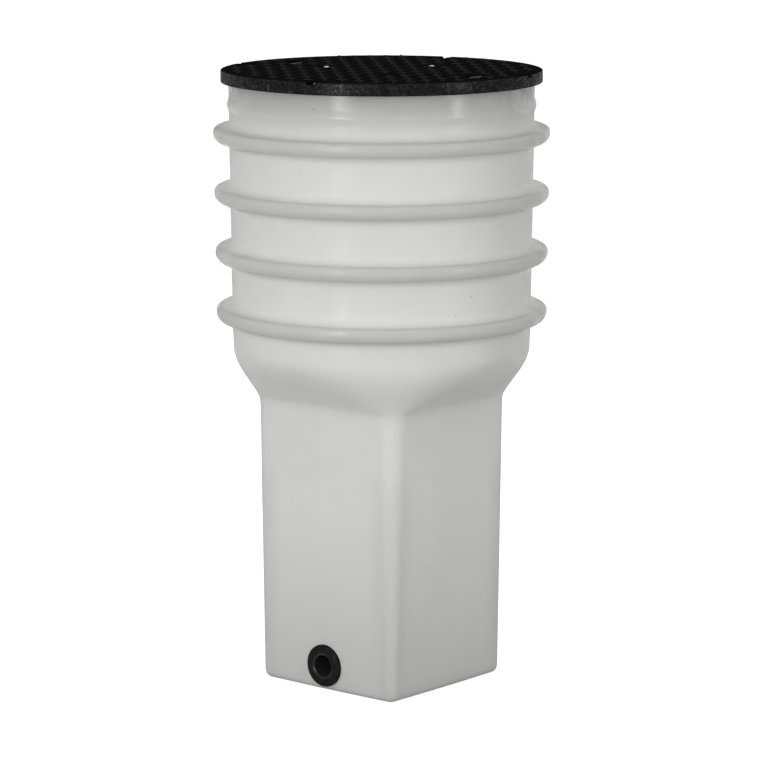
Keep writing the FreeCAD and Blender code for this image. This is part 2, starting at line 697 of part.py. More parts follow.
def pipe_elbow():
    """A bend from the valve down through the bracket, with a collar that rests on it."""
    bend_start = VALVE_END + ELBOW_STOP
    bend_level = FLOW_LEVEL - ELBOW_BEND
    tail_end = BRACKET_TOP - ELBOW_TAIL

    def bend(radius):
        disc = Part.Face(Part.Wire(Part.makeCircle(radius, vec(0, bend_start, FLOW_LEVEL), vec(0, 1, 0))))
        return disc.revolve(vec(0, bend_start, bend_level), vec(1, 0, 0), -90)

    spigot = on_flow([
        (0, VALVE_END - ELBOW_SPIGOT),
        (SEAT_RADIUS, VALVE_END - ELBOW_SPIGOT),
        (SEAT_RADIUS, VALVE_END),
        (VALVE_HEX_ACROSS / 2, VALVE_END),
        (VALVE_HEX_ACROSS / 2, bend_start),
        (0, bend_start),
    ])
    tail = turned([
        (0, tail_end),
        (THREAD_RADIUS, tail_end),
        (THREAD_RADIUS, BRACKET_TOP),
        (ELBOW_COLLAR_RADIUS, BRACKET_TOP),
        (ELBOW_COLLAR_RADIUS, BRACKET_TOP + ELBOW_COLLAR),
        (ELBOW_RADIUS, BRACKET_TOP + ELBOW_COLLAR),
        (ELBOW_RADIUS, bend_level),
        (0, bend_level),
    ])
    solid = bend(ELBOW_RADIUS).fuse([spigot, upright(tail, ELBOW_PLACE)])
    run = on_flow([
        (0, VALVE_END - ELBOW_SPIGOT),
        (FLOW_RADIUS, VALVE_END - ELBOW_SPIGOT),
        (FLOW_RADIUS, bend_start),
        (0, bend_start),
    ])
    drop = upright(rod(FLOW_RADIUS, tail_end, bend_level), ELBOW_PLACE)
    return solid.cut(bend(FLOW_RADIUS).fuse([run, drop]))


def locknut():
    top = BRACKET_TOP - BRACKET_SHEET
    nut = hexagon(LOCKNUT_ACROSS, top - LOCKNUT_HEIGHT, top)
    return upright(nut.cut(rod(THREAD_RADIUS + THREAD_CLEARANCE, top - LOCKNUT_HEIGHT, top)), ELBOW_PLACE)


def coupling_top():
    return BRACKET_TOP - BRACKET_SHEET - LOCKNUT_HEIGHT


def coupling_nut_top():
    return coupling_top() - COUPLING_LENGTH + COUPLING_NUT_LENGTH - COUPLING_MOUTH


def pipe_coupling():
    """The body of a compression coupling: a threaded top and a socket for the pipe below."""
    top = coupling_top()
    low = top - COUPLING_LENGTH
    thread_end = BRACKET_TOP - ELBOW_TAIL
    socket = PIPE_RADIUS + COUPLING_PIPE_CLEARANCE
    spigot = socket + COUPLING_WALL
    return upright(turned([
        (THREAD_RADIUS + THREAD_CLEARANCE, top),
        (COUPLING_RADIUS, top),
        (COUPLING_RADIUS, coupling_nut_top()),
        (spigot, coupling_nut_top()),
        (spigot, low),
        (socket, low),
        (socket, thread_end - COUPLING_WALL),
        (FLOW_RADIUS, thread_end - COUPLING_WALL),
        (FLOW_RADIUS, thread_end),
        (THREAD_RADIUS + THREAD_CLEARANCE, thread_end),
    ]), ELBOW_PLACE)


def coupling_nut():
    """The fluted nut that closes the coupling on the pipe."""
    top = coupling_nut_top()
    low = top - COUPLING_NUT_LENGTH
    socket = PIPE_RADIUS + COUPLING_PIPE_CLEARANCE
    bore = socket + COUPLING_WALL + THREAD_CLEARANCE
    nut = turned([
        (bore, top),
        (COUPLING_NUT_RADIUS, top),
        (COUPLING_NUT_RADIUS - COUPLING_FLUTE_RADIUS, low),
        (socket, low),
        (socket, low + COUPLING_MOUTH),
        (bore, low + COUPLING_MOUTH),
    ])
    flute = rod(COUPLING_FLUTE_RADIUS, low, top)
    flutes = ring_of(flute, COUPLING_NUT_FLUTES, COUPLING_NUT_RADIUS + COUPLING_FLUTE_RADIUS / 2, 0)
    return upright(nut.cut(flutes), ELBOW_PLACE)


def ball_space():
    return Part.makeSphere(PLUG_RADIUS, vec(0, BALL_PLACE, FLOW_LEVEL))


def valve_body():
    """The valve's round body with a hexagonal end for the elbow and a bonnet for the stem."""
    start = VALVE_START
    shell = on_flow([(0, start), (VALVE_RADIUS, start), (VALVE_RADIUS, VALVE_END - VALVE_HEX_LENGTH),
                     (0, VALVE_END - VALVE_HEX_LENGTH)])
    bonnet = upright(rod(VALVE_BONNET_RADIUS, FLOW_LEVEL, BONNET_TOP), BALL_PLACE)
    solid = shell.fuse([flow_hexagon(VALVE_HEX_ACROSS, VALVE_END - VALVE_HEX_LENGTH, VALVE_END), bonnet])
    seat_far = BALL_PLACE + BALL_RADIUS
    spigot_start = VALVE_END - ELBOW_SPIGOT
    bore = on_flow([
        (0, start),
        (PLUG_RADIUS + THREAD_CLEARANCE, start),
        (PLUG_RADIUS + THREAD_CLEARANCE, BALL_PLACE),
        (SEAT_RADIUS, BALL_PLACE),
        (SEAT_RADIUS, seat_far),
        (FLOW_RADIUS, seat_far),
        (FLOW_RADIUS, spigot_start),
        (SEAT_RADIUS + THREAD_CLEARANCE, spigot_start),
        (SEAT_RADIUS + THREAD_CLEARANCE, VALVE_END),
        (0, VALVE_END),
    ])
    stem_hole = upright(rod(STEM_RADIUS + RUNNING_FIT, FLOW_LEVEL, BONNET_TOP), BALL_PLACE)
    return solid.cut([bore, ball_space(), stem_hole])


def valve_tail():
    """The tail screwed into the valve on the meter's side, with the collar that the union nut pulls."""
    seat_near = BALL_PLACE - BALL_RADIUS
    return on_flow([
        (FLOW_RADIUS, TAIL_START),
        (TAIL_COLLAR_RADIUS, TAIL_START),
        (TAIL_COLLAR_RADIUS, TAIL_START + TAIL_COLLAR),
        (TAIL_RADIUS, TAIL_START + TAIL_COLLAR),
        (TAIL_RADIUS, VALVE_START),
        (PLUG_RADIUS, VALVE_START),
        (PLUG_RADIUS, seat_near),
        (FLOW_RADIUS, seat_near),
    ])


def valve_seats():
    """Two seat rings, one on each side of the ball, hollowed to the ball's form."""
    rings = []
    for start in (BALL_PLACE - BALL_RADIUS, BALL_PLACE + BALL_RADIUS - SEAT_WIDTH):
        ring = on_flow([(FLOW_RADIUS, start), (SEAT_RADIUS, start), (SEAT_RADIUS, start + SEAT_WIDTH),
                        (FLOW_RADIUS, start + SEAT_WIDTH)])
        rings.append(ring.cut(ball_space()))
    return rings


def stem_tongue(clearance):
    """The flat on the stem's lower end and, with a clearance, its slot across the ball."""
    width = STEM_TONGUE + 2 * clearance
    low = FLOW_LEVEL + BALL_RADIUS - STEM_TONGUE_DEPTH
    return Part.makeBox(2 * STEM_RADIUS + 2 * clearance, width, STEM_TONGUE_DEPTH + BALL_CLEARANCE + clearance,
                        vec(-STEM_RADIUS - clearance, BALL_PLACE - width / 2, low - clearance))


def valve_ball():
    ball = Part.makeSphere(BALL_RADIUS, vec(0, BALL_PLACE, FLOW_LEVEL))
    bore = on_flow([(0, VALVE_START), (FLOW_RADIUS, VALVE_START), (FLOW_RADIUS, VALVE_END), (0, VALVE_END)])
    return ball.cut([bore, stem_tongue(THREAD_CLEARANCE)])


def valve_stem():
    """A round stem with a tongue in the ball's slot, a square for the handle and a thread for its nut."""
    shoulder_level = FLOW_LEVEL + BALL_RADIUS + BALL_CLEARANCE
    round_part = rod(STEM_RADIUS, shoulder_level, BONNET_TOP + RUNNING_FIT)
    top = BONNET_TOP + STEM_TOP
    square = Part.makeBox(STEM_SQUARE, STEM_SQUARE, top - BONNET_TOP,
                          vec(-STEM_SQUARE / 2, -STEM_SQUARE / 2, BONNET_TOP))
    tongue = stem_tongue(0).common(upright(rod(STEM_RADIUS, FLOW_LEVEL, BONNET_TOP), BALL_PLACE))
    return upright(round_part.fuse(square), BALL_PLACE).fuse(tongue)


def handle_low():
    return BONNET_TOP + RUNNING_FIT


def valve_handle():
    """A flat lever with a round end on the stem's square, pointing away from the meter."""
    half = HANDLE_WIDTH / 2
    blade = Part.makeBox(HANDLE_WIDTH, HANDLE_LENGTH, HANDLE_SHEET, vec(-half, 0, handle_low()))
    ends = [rod(half, handle_low(), handle_low() + HANDLE_SHEET).translated(vec(0, y, 0))
            for y in (0, HANDLE_LENGTH)]
    side = STEM_SQUARE + 2 * THREAD_CLEARANCE
    hole = Part.makeBox(side, side, HANDLE_SHEET, vec(-side / 2, -side / 2, handle_low()))
    return upright(blade.fuse(ends).removeSplitter().cut(hole), BALL_PLACE)


def handle_nut():
    low = handle_low() + HANDLE_SHEET
    nut = hexagon(HANDLE_NUT_ACROSS, low, low + HANDLE_NUT_HEIGHT)
    side = STEM_SQUARE + 2 * THREAD_CLEARANCE
    hole = Part.makeBox(side, side, HANDLE_NUT_HEIGHT, vec(-side / 2, -side / 2, low))
    return upright(nut.cut(hole), BALL_PLACE)


def union_nut():
    """The hexagonal nut that draws the valve's tail against the meter."""
    shoulder_start = TAIL_START + TAIL_COLLAR
    end = shoulder_start + UNION_SHOULDER
    nut = flow_hexagon(UNION_ACROSS, end - UNION_LENGTH, end)
    bore = on_flow([
        (0, end - UNION_LENGTH),
        (THREAD_RADIUS + THREAD_CLEARANCE, end - UNION_LENGTH),
        (THREAD_RADIUS + THREAD_CLEARANCE, shoulder_start),
        (TAIL_RADIUS + THREAD_CLEARANCE, shoulder_start),
        (TAIL_RADIUS + THREAD_CLEARANCE, end),
        (0, end),
    ])
    return nut.cut(bore)


def union_gasket():
    return on_flow([(FLOW_RADIUS, METER_END), (TAIL_COLLAR_RADIUS, METER_END),
                    (TAIL_COLLAR_RADIUS, TAIL_START), (FLOW_RADIUS, TAIL_START)])


# Meter

REGISTER_LOW = FLOW_LEVEL + METER_BOWL_ABOVE
REGISTER_TOP = REGISTER_LOW + REGISTER_HEIGHT
HINGE_REACH = REGISTER_RADIUS + FLAP_KNUCKLE_RADIUS
HINGE_LEVEL = REGISTER_TOP + FLAP_GAP + FLAP_THICKNESS / 2


def meter_body():
    """A brass bowl on a straight pipe with a thread at each end."""
    low = FLOW_LEVEL - METER_BOWL_BELOW
    bowl = rod(METER_BOWL_RADIUS, low, REGISTER_LOW)
    rim = [edge for edge in bowl.Edges if edge.BoundBox.ZMax < REGISTER_LOW]
    bowl = bowl.makeFillet(2 * METER_BOWL_WALL, rim)
    thread_start = METER_END - METER_THREAD_LENGTH
    pipe = on_flow([
        (0, -METER_END),
        (THREAD_RADIUS, -METER_END),
        (THREAD_RADIUS, -thread_start),
        (METER_PIPE_RADIUS, -thread_start),
        (METER_PIPE_RADIUS, thread_start),
        (THREAD_RADIUS, thread_start),
        (THREAD_RADIUS, METER_END),
        (0, METER_END),
    ])
    bore = on_flow([(0, -METER_END), (FLOW_RADIUS, -METER_END), (FLOW_RADIUS, METER_END), (0, METER_END)])
    space = rod(METER_BOWL_RADIUS - METER_BOWL_WALL, low + METER_BOWL_WALL, REGISTER_LOW)
    return bowl.fuse(pipe).cut([bore, space])


def hinge_lug(start):
    """One lug of the flap's hinge on the register's edge."""
    eye = along_y(rod(FLAP_KNUCKLE_RADIUS, start, start + FLAP_LUG_LENGTH))
    eye = eye.translated(vec(HINGE_REACH, 0, HINGE_LEVEL))
    root = REGISTER_RADIUS - REGISTER_WALL
    drop = 2 * FLAP_KNUCKLE_RADIUS
    web = Part.makeBox(HINGE_REACH - root, FLAP_LUG_LENGTH, drop, vec(root, start, REGISTER_TOP - drop))
    post = Part.makeBox(2 * FLAP_KNUCKLE_RADIUS, FLAP_LUG_LENGTH, HINGE_LEVEL - REGISTER_TOP + drop,
                        vec(HINGE_REACH - FLAP_KNUCKLE_RADIUS, start, REGISTER_TOP - drop))
    return eye.fuse([web, post])


def hinge_pin_solid(radius):
    half = FLAP_KNUCKLE_LENGTH / 2 + FLAP_SIDE_GAP + FLAP_LUG_LENGTH
    return along_y(rod(radius, -half, half)).translated(vec(HINGE_REACH, 0, HINGE_LEVEL))


def meter_register():
    """The register's cup on the bowl, open above for the dial and its glass, with two hinge lugs."""
    cup = rod(REGISTER_RADIUS, REGISTER_LOW, REGISTER_TOP)
    lug_start = FLAP_KNUCKLE_LENGTH / 2 + FLAP_SIDE_GAP
    lugs = [hinge_lug(lug_start), hinge_lug(-lug_start - FLAP_LUG_LENGTH)]
    inner = REGISTER_RADIUS - REGISTER_WALL
    space = rod(inner, REGISTER_LOW + REGISTER_FLOOR, REGISTER_TOP)
    return cup.fuse(lugs).cut([space, hinge_pin_solid(FLAP_PIN_RADIUS)])


def meter_works():
    """The closed gear unit under the dial."""
    return rod(REGISTER_RADIUS - REGISTER_WALL - GLASS_CLEARANCE, REGISTER_LOW + REGISTER_FLOOR,
               REGISTER_TOP - DIAL_DEPTH)


def meter_dial():
    low = REGISTER_TOP - DIAL_DEPTH
    return rod(REGISTER_RADIUS - REGISTER_WALL - GLASS_CLEARANCE, low, low + DIAL_THICKNESS)


def meter_glass():
    """A thick glass that rests on the dial by a rim and stays clear of its middle."""
    radius = REGISTER_RADIUS - REGISTER_WALL - GLASS_CLEARANCE
    low = REGISTER_TOP - DIAL_DEPTH + DIAL_THICKNESS
    rim = radius - REGISTER_WALL
    return turned([(rim, low), (radius, low), (radius, REGISTER_TOP), (0, REGISTER_TOP),
                   (0, REGISTER_TOP - GLASS_THICKNESS), (rim, REGISTER_TOP - GLASS_THICKNESS)])


def meter_flap():
    """The hinged cover over the glass, with its knuckle at the back and a finger tab in front."""
    low = REGISTER_TOP + FLAP_GAP
    plate = rod(REGISTER_RADIUS, low, low + FLAP_THICKNESS)
    neck_start = REGISTER_RADIUS - FLAP_KNUCKLE_RADIUS
    neck = Part.makeBox(HINGE_REACH - neck_start, FLAP_KNUCKLE_LENGTH, FLAP_THICKNESS,
                        vec(neck_start, -FLAP_KNUCKLE_LENGTH / 2, low))
    half = FLAP_KNUCKLE_LENGTH / 2
    knuckle_radius = FLAP_KNUCKLE_RADIUS - FLAP_GAP
    knuckle = along_y(rod(knuckle_radius, -half, half)).translated(vec(HINGE_REACH, 0, HINGE_LEVEL))
    tab = rod(FLAP_TAB, low, low + FLAP_THICKNESS).translated(vec(-REGISTER_RADIUS, 0, 0))
    swing = FLAP_KNUCKLE_RADIUS + FLAP_SIDE_GAP
    lug_span = FLAP_LUG_LENGTH + 2 * FLAP_SIDE_GAP
    reliefs = []
    for start in (half, -half - lug_span):
        relief = along_y(rod(swing, start, start + lug_span))
        reliefs.append(relief.translated(vec(HINGE_REACH, 0, HINGE_LEVEL)))
    hole = hinge_pin_solid(FLAP_PIN_RADIUS + RUNNING_FIT)
    return plate.fuse([neck, knuckle, tab]).cut(reliefs + [hole])


os.makedirs("parts", exist_ok=True)

BODY = chamber_body()
save("chamber_body", BODY)
save("lid", lid())
save("lid_seal", lid_seal())
save_group("lid_bolts", bolt_ring(lid_bolt()))
save_group("lid_bolt_washers", bolt_ring(bolt_washer()))
save_group("rim_inserts", bolt_ring(rim_insert()))
save_group("lift_bars", lift_bars(LIFT_BAR_RADIUS))
save("insulation_disc", insulation_disc())
save_group("disc_screws", screw_ring(disc_screw()))
save_group("disc_washers", screw_ring(disc_washer()))
save_group("disc_nuts", screw_ring(disc_nut()))

PIPE_GROMMET = grommet(BODY)
for side, turn in (("outlet", 0), ("inlet", 180)):
    def place(shape):
        return shape.rotated(ORIGIN, Z_AXIS, METER_TURN + turn)

    save(side + "_grommet", PIPE_GROMMET.rotated(ORIGIN, Z_AXIS, turn))
    save(side + "_elbow", place(pipe_elbow()))
    save(side + "_locknut", place(locknut()))
    save(side + "_coupling", place(pipe_coupling()))
    save(side + "_coupling_nut", place(coupling_nut()))
    save(side + "_valve_body", place(valve_body()))
    save(side + "_valve_tail", place(valve_tail()))
    save_group(side + "_valve_seats", [place(ring) for ring in valve_seats()])
    save(side + "_valve_ball", place(valve_ball()))
    save(side + "_valve_stem", place(valve_stem()))
    save(side + "_valve_handle", place(valve_handle()))
    save(side + "_handle_nut", place(handle_nut()))
    save(side + "_union_nut", place(union_nut()))
    save(side + "_union_gasket", place(union_gasket()))

for name, piece in (
    ("meter_bracket", meter_bracket()),
    ("meter_body", meter_body()),
    ("meter_register", meter_register()),
    ("meter_works", meter_works()),
    ("meter_dial", meter_dial()),
    ("meter_glass", meter_glass()),
    ("meter_flap", meter_flap()),
    ("meter_flap_pin", hinge_pin_solid(FLAP_PIN_RADIUS)),
):
    save(name, piece.rotated(ORIGIN, Z_AXIS, METER_TURN))
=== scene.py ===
"""Looks of the water meter chamber.

A milky white moulded body, a black lid with a tread, its lift bars and screws, and two rubber pipe sleeves
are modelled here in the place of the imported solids. The body's shoulder is fuller than its solid. All other
pieces keep their solids and get their finishes here.
"""
import bmesh
import bpy
import json
import math
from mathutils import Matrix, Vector


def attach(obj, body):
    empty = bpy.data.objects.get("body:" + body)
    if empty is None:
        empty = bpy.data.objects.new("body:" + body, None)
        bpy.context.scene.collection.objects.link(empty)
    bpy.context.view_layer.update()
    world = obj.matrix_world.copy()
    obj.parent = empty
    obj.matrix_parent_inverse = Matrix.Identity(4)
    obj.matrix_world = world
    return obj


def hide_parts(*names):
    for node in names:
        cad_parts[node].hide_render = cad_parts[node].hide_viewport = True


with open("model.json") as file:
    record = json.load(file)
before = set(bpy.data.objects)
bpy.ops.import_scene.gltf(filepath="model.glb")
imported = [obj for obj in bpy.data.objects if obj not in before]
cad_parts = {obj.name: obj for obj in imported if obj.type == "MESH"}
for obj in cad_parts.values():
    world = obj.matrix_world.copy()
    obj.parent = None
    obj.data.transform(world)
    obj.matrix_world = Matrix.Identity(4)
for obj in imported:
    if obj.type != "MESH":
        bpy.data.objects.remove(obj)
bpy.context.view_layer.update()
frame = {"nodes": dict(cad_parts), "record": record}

# Moulded body, in metres
BODY_HEIGHT = 1.137
WALL = 0.008
RIM_RADIUS = 0.2855
BARREL_DRAFT = math.radians(0.7)
BEAD_LEVEL = 1.095
BEAD_HALF_HEIGHT = 0.014
BEAD_RELIEF = 0.0040
BEAD_ROUNDING = 0.007
MOUTH_RADIUS = 0.250
RING_COUNT = 4
RING_PITCH = 0.112
FIRST_RING_DROP = 0.092
RING_REACH = 0.0298
RING_NOSE = 0.008
RING_RISE = 0.0065
RING_FALL = 0.0150
RING_FILLET = 0.014
RING_LOWER_NOSE = 0.016
RING_CREASE = 0.013
RING_UPPER_SLOPE = math.radians(9)
RING_LOWER_SLOPE = math.radians(21)
SHOULDER_HEIGHT = 0.107
SHOULDER_FULLNESS = 1.65
SHOULDER_CREASE = 0.064
CREASE_SAMPLES = 4
CORNER_LEAD = 0.9
FOOT_HEIGHT = 0.540
FOOT_HALF_TOP = 0.174
FOOT_HALF_BOTTOM = 0.164
FOOT_CORNER_TOP = 0.034
FOOT_CORNER_BOTTOM = 0.017
FOOT_EDGE = 0.014
FACE_CROWN = math.radians(1.5)
BODY_STEPS = 240
SHOULDER_LOOPS = 22
FOOT_LOOPS = 34
EDGE_LOOPS = 6
CORNER_CROWDING = 0.62
RIM_ROUNDING = 0.002
BASE_BORDER = 0.004
LOOP_DROP = 0.001
HOLE_STEPS = 96

# Where the body's finish, its painted shadow and its painted shade change: levels, distances from the axis
# and relief over the plain wall
DUST_LEVEL = 0.12
# Painted shadow of the lid: the wall greys from the lower level up to the upper one
LID_SHADOW_PAINTED_LEVELS = (1.03, 1.16)
# Painted shade: the body greys towards the bottom between these levels
LOW_PAINTED_SHADE_LEVELS = (-0.05, 0.40)
# Painted shade on the foot's corners, below these levels and out at these distances from the axis
CORNER_PAINTED_SHADE_LEVELS = (0.36, 0.46)
CORNER_PAINTED_SHADE_REACHES = (0.194, 0.222)
# Painted shade on the rings, set by their relief over the plain wall and starting above the shoulder
RING_PAINTED_SHADE_RELIEFS = (0.010, 0.024)
RING_PAINTED_SHADE_START = 0.02
BARREL_SHEEN_LEVELS = (0.5, 0.7)
NECK_SHEEN_LEVELS = (1.075, 1.10)

# Lid
LID_RADIUS = 0.300
LID_EDGE = 0.022
LID_SKIN = 0.010
LID_ROUNDING = 0.0016
RECESS_ROUNDING = 0.0007
CUTTER_OVERLAP = 0.01
LID_STEPS = 256
LID_SEAM_TURN = math.radians(-92.7)
LID_SEAM_SQUARES = (0.0000001, 0.0000009)
LID_SEAM_DROP = 0.005
LID_SEAM_FADE = 0.003
LID_SIDE_DEPTHS = (0.0022, 0.0008)
# Painted light on the tread's studs, from these heights over the lid's top
STUD_PAINTED_LIGHT_HEIGHTS = (0.0001, 0.0014)
FITTING_STEPS = 48
RIB_RING_STEPS = 96
SPIGOT_RADIUS = 0.246
SPIGOT_WALL = 0.008
SPIGOT_DEPTH = 0.008
SEAL_RADIUS = 0.256
SEAL_WIDTH = 0.006
SEAL_HEIGHT = 0.004
RIB_COUNT = 8
RIB_WIDTH = 0.006
RIB_RING_RADIUS = 0.165
BOLT_COUNT = 4
BOLT_TURN = math.radians(15)
BOLT_CIRCLE = 0.272
BOLT_RECESS_RADIUS = 0.011
BOLT_RECESS_DEPTH = 0.010
NOTCH_WIDTH = 0.019
NOTCH_DEPTH = 0.0045
NOTCH_LENGTH = 0.06
SCREW_COUNT = 3
SCREW_TURN = math.radians(75)
SCREW_CIRCLE = 0.114
SCREW_RECESS_RADIUS = 0.008
SCREW_RECESS_DEPTH = 0.005
SCREW_BOSS_RADIUS = 0.014
SCREW_RADIUS = 0.003
SCREW_HEAD_RADIUS = 0.0065
SCREW_HEAD_HEIGHTS = (0.0060, 0.0060, 0.0040)
SCREW_TIP = 1.077
SCREW_STEPS = 40
SCREW_CROWN_RADIUS = 0.0036
SCREW_SOCKET_RADIUS = 0.0022
SCREW_SOCKET_FOOT = 0.0018
SCREW_SOCKET_DEPTH = 0.0022
POCKET_REACH = 0.219
POCKET_ALONG_X = 0.038
POCKET_ALONG_Y = 0.050
POCKET_DEPTH = 0.016
POCKET_WALL = 0.005
POCKET_CORNER = 0.008
LIFT_BAR_RADIUS = 0.0045
LIFT_BAR_COVER = 0.0015
LIFT_BAR_BITE = 0.004
LIFT_BAR_ROUNDING = 0.0006
TREAD_HEIGHT = 0.0025
TREAD_PITCH = 0.030
TREAD_LENGTH = 0.027
TREAD_WIDTH = 0.010
TREAD_TOP_SHARE = 0.55
TREAD_MARGIN = 0.006
TREAD_TURN = math.radians(45)
TREAD_ROUNDING = 0.0005

# Rubber pipe sleeves
PIPE_RADIUS = 0.016
SLEEVE_LEVEL = 0.049
SLEEVE_FLANGE_RADIUS = 0.040
SLEEVE_FLANGE = 0.009
SLEEVE_MOUTH_RADIUS = 0.020
SLEEVE_HOLE_RADIUS = 0.028
SLEEVE_LIP_RADIUS = 0.033
SLEEVE_LIP = 0.006
SLEEVE_LENGTH = 0.034
SLEEVE_WALL = 0.0035
SLEEVE_SEAL = 0.008
SLEEVE_ROUNDING = 0.003
SLEEVE_DOME = 0.006
SLEEVE_PLAY = 0.0004
SLEEVE_LIP_PLAY = 0.0003
SLEEVE_FLANGE_BITE = 0.001
SLEEVE_MOUTH_TAPER = 0.0008
SLEEVE_MOUTH_DEPTH = 0.004
SLEEVE_WORN_RADII = (0.0222, 0.0262)
# Painted light inside the sleeve's hole, out to these radii
SLEEVE_PAINTED_LIGHT_RADII = (0.0192, 0.0204)
SLEEVE_STEPS = 128

# The camera of the photo
CAMERA_TURN = math.radians(40.27)
CAMERA_DISTANCE = 6.917
CAMERA_LEVEL = 1.786
CAMERA_PITCH_DEGREES = 10.02
CAMERA_LENS = 174.3
CAMERA_SENSOR = 36.0
CAMERA_SHIFT = 0.0031

# Floor and surroundings
FLOOR_SIZE = 40
FLOOR_GREY = (0.5, 0.5, 0.5, 1)
FLOOR_GLOW = 0.88
WHITE = (1, 1, 1, 1)
SKY_LEAST = 0.13
SKY_GAIN = 0.46
SKY_FADE = (-0.55, 0.30)

SEAT_LEVEL = BODY_HEIGHT
LID_TOP = SEAT_LEVEL + LID_EDGE
SHOULDER_TOP = FOOT_HEIGHT + SHOULDER_HEIGHT
SLEEVE_FACE = FOOT_HALF_BOTTOM + (FOOT_HALF_TOP - FOOT_HALF_BOTTOM) * SLEEVE_LEVEL / FOOT_HEIGHT
AIM_LEVEL = BODY_HEIGHT * 0.6
POCKET_PLACES = (POCKET_REACH, -POCKET_REACH)

# Mesh work
FULL_TURN = 2 * math.pi
WELD = 0.00002
CORNER_FIT = 0.999
DEGREES_A_SEGMENT = 9


# Hand tools

def begin(name, add, **settings):
    """Add a primitive on its own under its name and open it for editing."""
    bpy.ops.object.select_all(action="DESELECT")
    add(**settings)
    piece = bpy.context.object
    piece.name = name
    piece.data.name = name
    bpy.ops.object.mode_set(mode="EDIT")
    return piece


def pick(piece, kind, wanted):
    """Select the vertices, edges or faces that are wanted, and nothing else."""
    bpy.ops.mesh.select_mode(type=kind)
    bpy.ops.mesh.select_all(action="DESELECT")
    mesh = bmesh.from_edit_mesh(piece.data)
    parts = {"VERT": mesh.verts, "EDGE": mesh.edges, "FACE": mesh.faces}[kind]
    for part in parts:
        if wanted(part):
            part.select_set(True)
    mesh.select_flush_mode()
    bmesh.update_edit_mesh(piece.data)


def turned(name, corners, steps, axis=(0, 0, 1), centre=(0, 0, 0)):
    """Turn a piece about an axis from profile corners of (radius, distance along the axis, rounding)."""
    axis = Vector(axis)
    centre = Vector(centre)
    points = [centre + Vector((radius, 0, 0)) + axis * along for radius, along, rounding in corners]
    piece = begin(name, bpy.ops.mesh.primitive_plane_add, size=0.01)
    bpy.ops.mesh.merge(type="CENTER")
    bpy.ops.transform.translate(value=points[0])
    for start, end in zip(points, points[1:]):
        bpy.ops.mesh.extrude_vertices_move(TRANSFORM_OT_translate={"value": end - start})
    for k in range(1, len(points) - 1):
        rounding = corners[k][2]
        if rounding:
            here = points[k]
            turn = math.pi - (points[k - 1] - here).angle(points[k + 1] - here)
            pick(piece, "VERT", lambda vert: (vert.co - here).length < 1e-6)
            bpy.ops.mesh.bevel(affect="VERTICES", offset_type="OFFSET",
                               offset=rounding * math.tan(turn / 2) * CORNER_FIT,
                               segments=max(2, round(math.degrees(turn) / DEGREES_A_SEGMENT)))
    bpy.ops.mesh.select_all(action="SELECT")
    bpy.ops.mesh.spin(steps=steps, angle=FULL_TURN, center=centre, axis=axis)
    tidy_mesh()
    return piece


def tidy_mesh():
    """Close the seam and turn the faces outwards."""
    bpy.ops.mesh.select_all(action="SELECT")
    bpy.ops.mesh.remove_doubles(threshold=WELD)
    bpy.ops.mesh.normals_make_consistent(inside=False)


def draw_up(height):
    """Extrude the selected faces straight up, or down where the height is negative."""
    bpy.ops.mesh.extrude_region_move(TRANSFORM_OT_translate={"value": (0, 0, height)})


def finish_with(piece, kind, **settings):
    """Add a modifier to a piece in object mode and apply it."""
    bpy.ops.object.select_all(action="DESELECT")
    bpy.context.view_layer.objects.active = piece
    piece.select_set(True)
    modifier = piece.modifiers.new(kind.lower(), kind)
    for key, value in settings.items():
        setattr(modifier, key, value)
    bpy.ops.object.modifier_apply(modifier=modifier.name)


def cut(piece, cutter):
    """Cut a piece with another, which is used up."""
    finish_with(piece, "BOOLEAN", object=cutter, operation="DIFFERENCE", solver="EXACT")
    bpy.data.objects.remove(cutter)


def join(pieces):
    """Join pieces into the first one."""
    bpy.ops.object.select_all(action="DESELECT")
    for piece in pieces:
        piece.select_set(True)
    bpy.context.view_layer.objects.active = pieces[0]
    bpy.ops.object.join()
    return pieces[0]


def smooth(piece, angle):
    """Shade a piece smooth, with edges sharper than this angle in degrees kept."""
    bpy.ops.object.select_all(action="DESELECT")
    bpy.context.view_layer.objects.active = piece
    piece.select_set(True)
    bpy.ops.object.shade_smooth_by_angle(angle=math.radians(angle))


def settle(piece, body, slot, *nodes):
    """Bind a finished piece to its body and hide the solids that it stands for. The slot is not used."""
    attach(piece, body)
    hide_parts(*nodes)


def placed_round(name, add, count, circle, first, **settings):
    """Primitives on a circle about Z, each turned to its place, as one piece."""
    copies = []
    for k in range(count):
        angle = first + FULL_TURN * k / count
        x, y, z = settings["location"]
        spot = (math.cos(angle) * (circle + x) - math.sin(angle) * y,
                math.sin(angle) * (circle + x) + math.cos(angle) * y, z)
        bpy.ops.object.select_all(action="DESELECT")
        add(**{**settings, "location": spot, "rotation": (0, 0, angle)})
        bpy.ops.object.transform_apply(location=True, rotation=True, scale=True)
        copies.append(bpy.context.object)
    group = join(copies)
    group.name = name
    return group


# Moulded body

def wall_radius(level):
    """Outside of the plain barrel wall, which narrows downwards."""
    return RIM_RADIUS - (BODY_HEIGHT - level) * math.tan(BARREL_DRAFT)


def ring_corners(index):
    """Profile corners of one stiffening ring: its fillet, its nose's two corners and the crease below."""
    level = BODY_HEIGHT - FIRST_RING_DROP - index * RING_PITCH
    wall = wall_radius(level)
    tip = wall + RING_REACH
    upper = level + RING_RISE
    lower = level - RING_FALL
    return [
        (wall, upper + (tip - wall) * math.tan(RING_UPPER_SLOPE), RING_FILLET),
        (tip, upper, RING_NOSE),
        (tip, lower, RING_LOWER_NOSE),
        (wall, lower - (tip - wall) * math.tan(RING_LOWER_SLOPE), RING_CREASE),
    ]


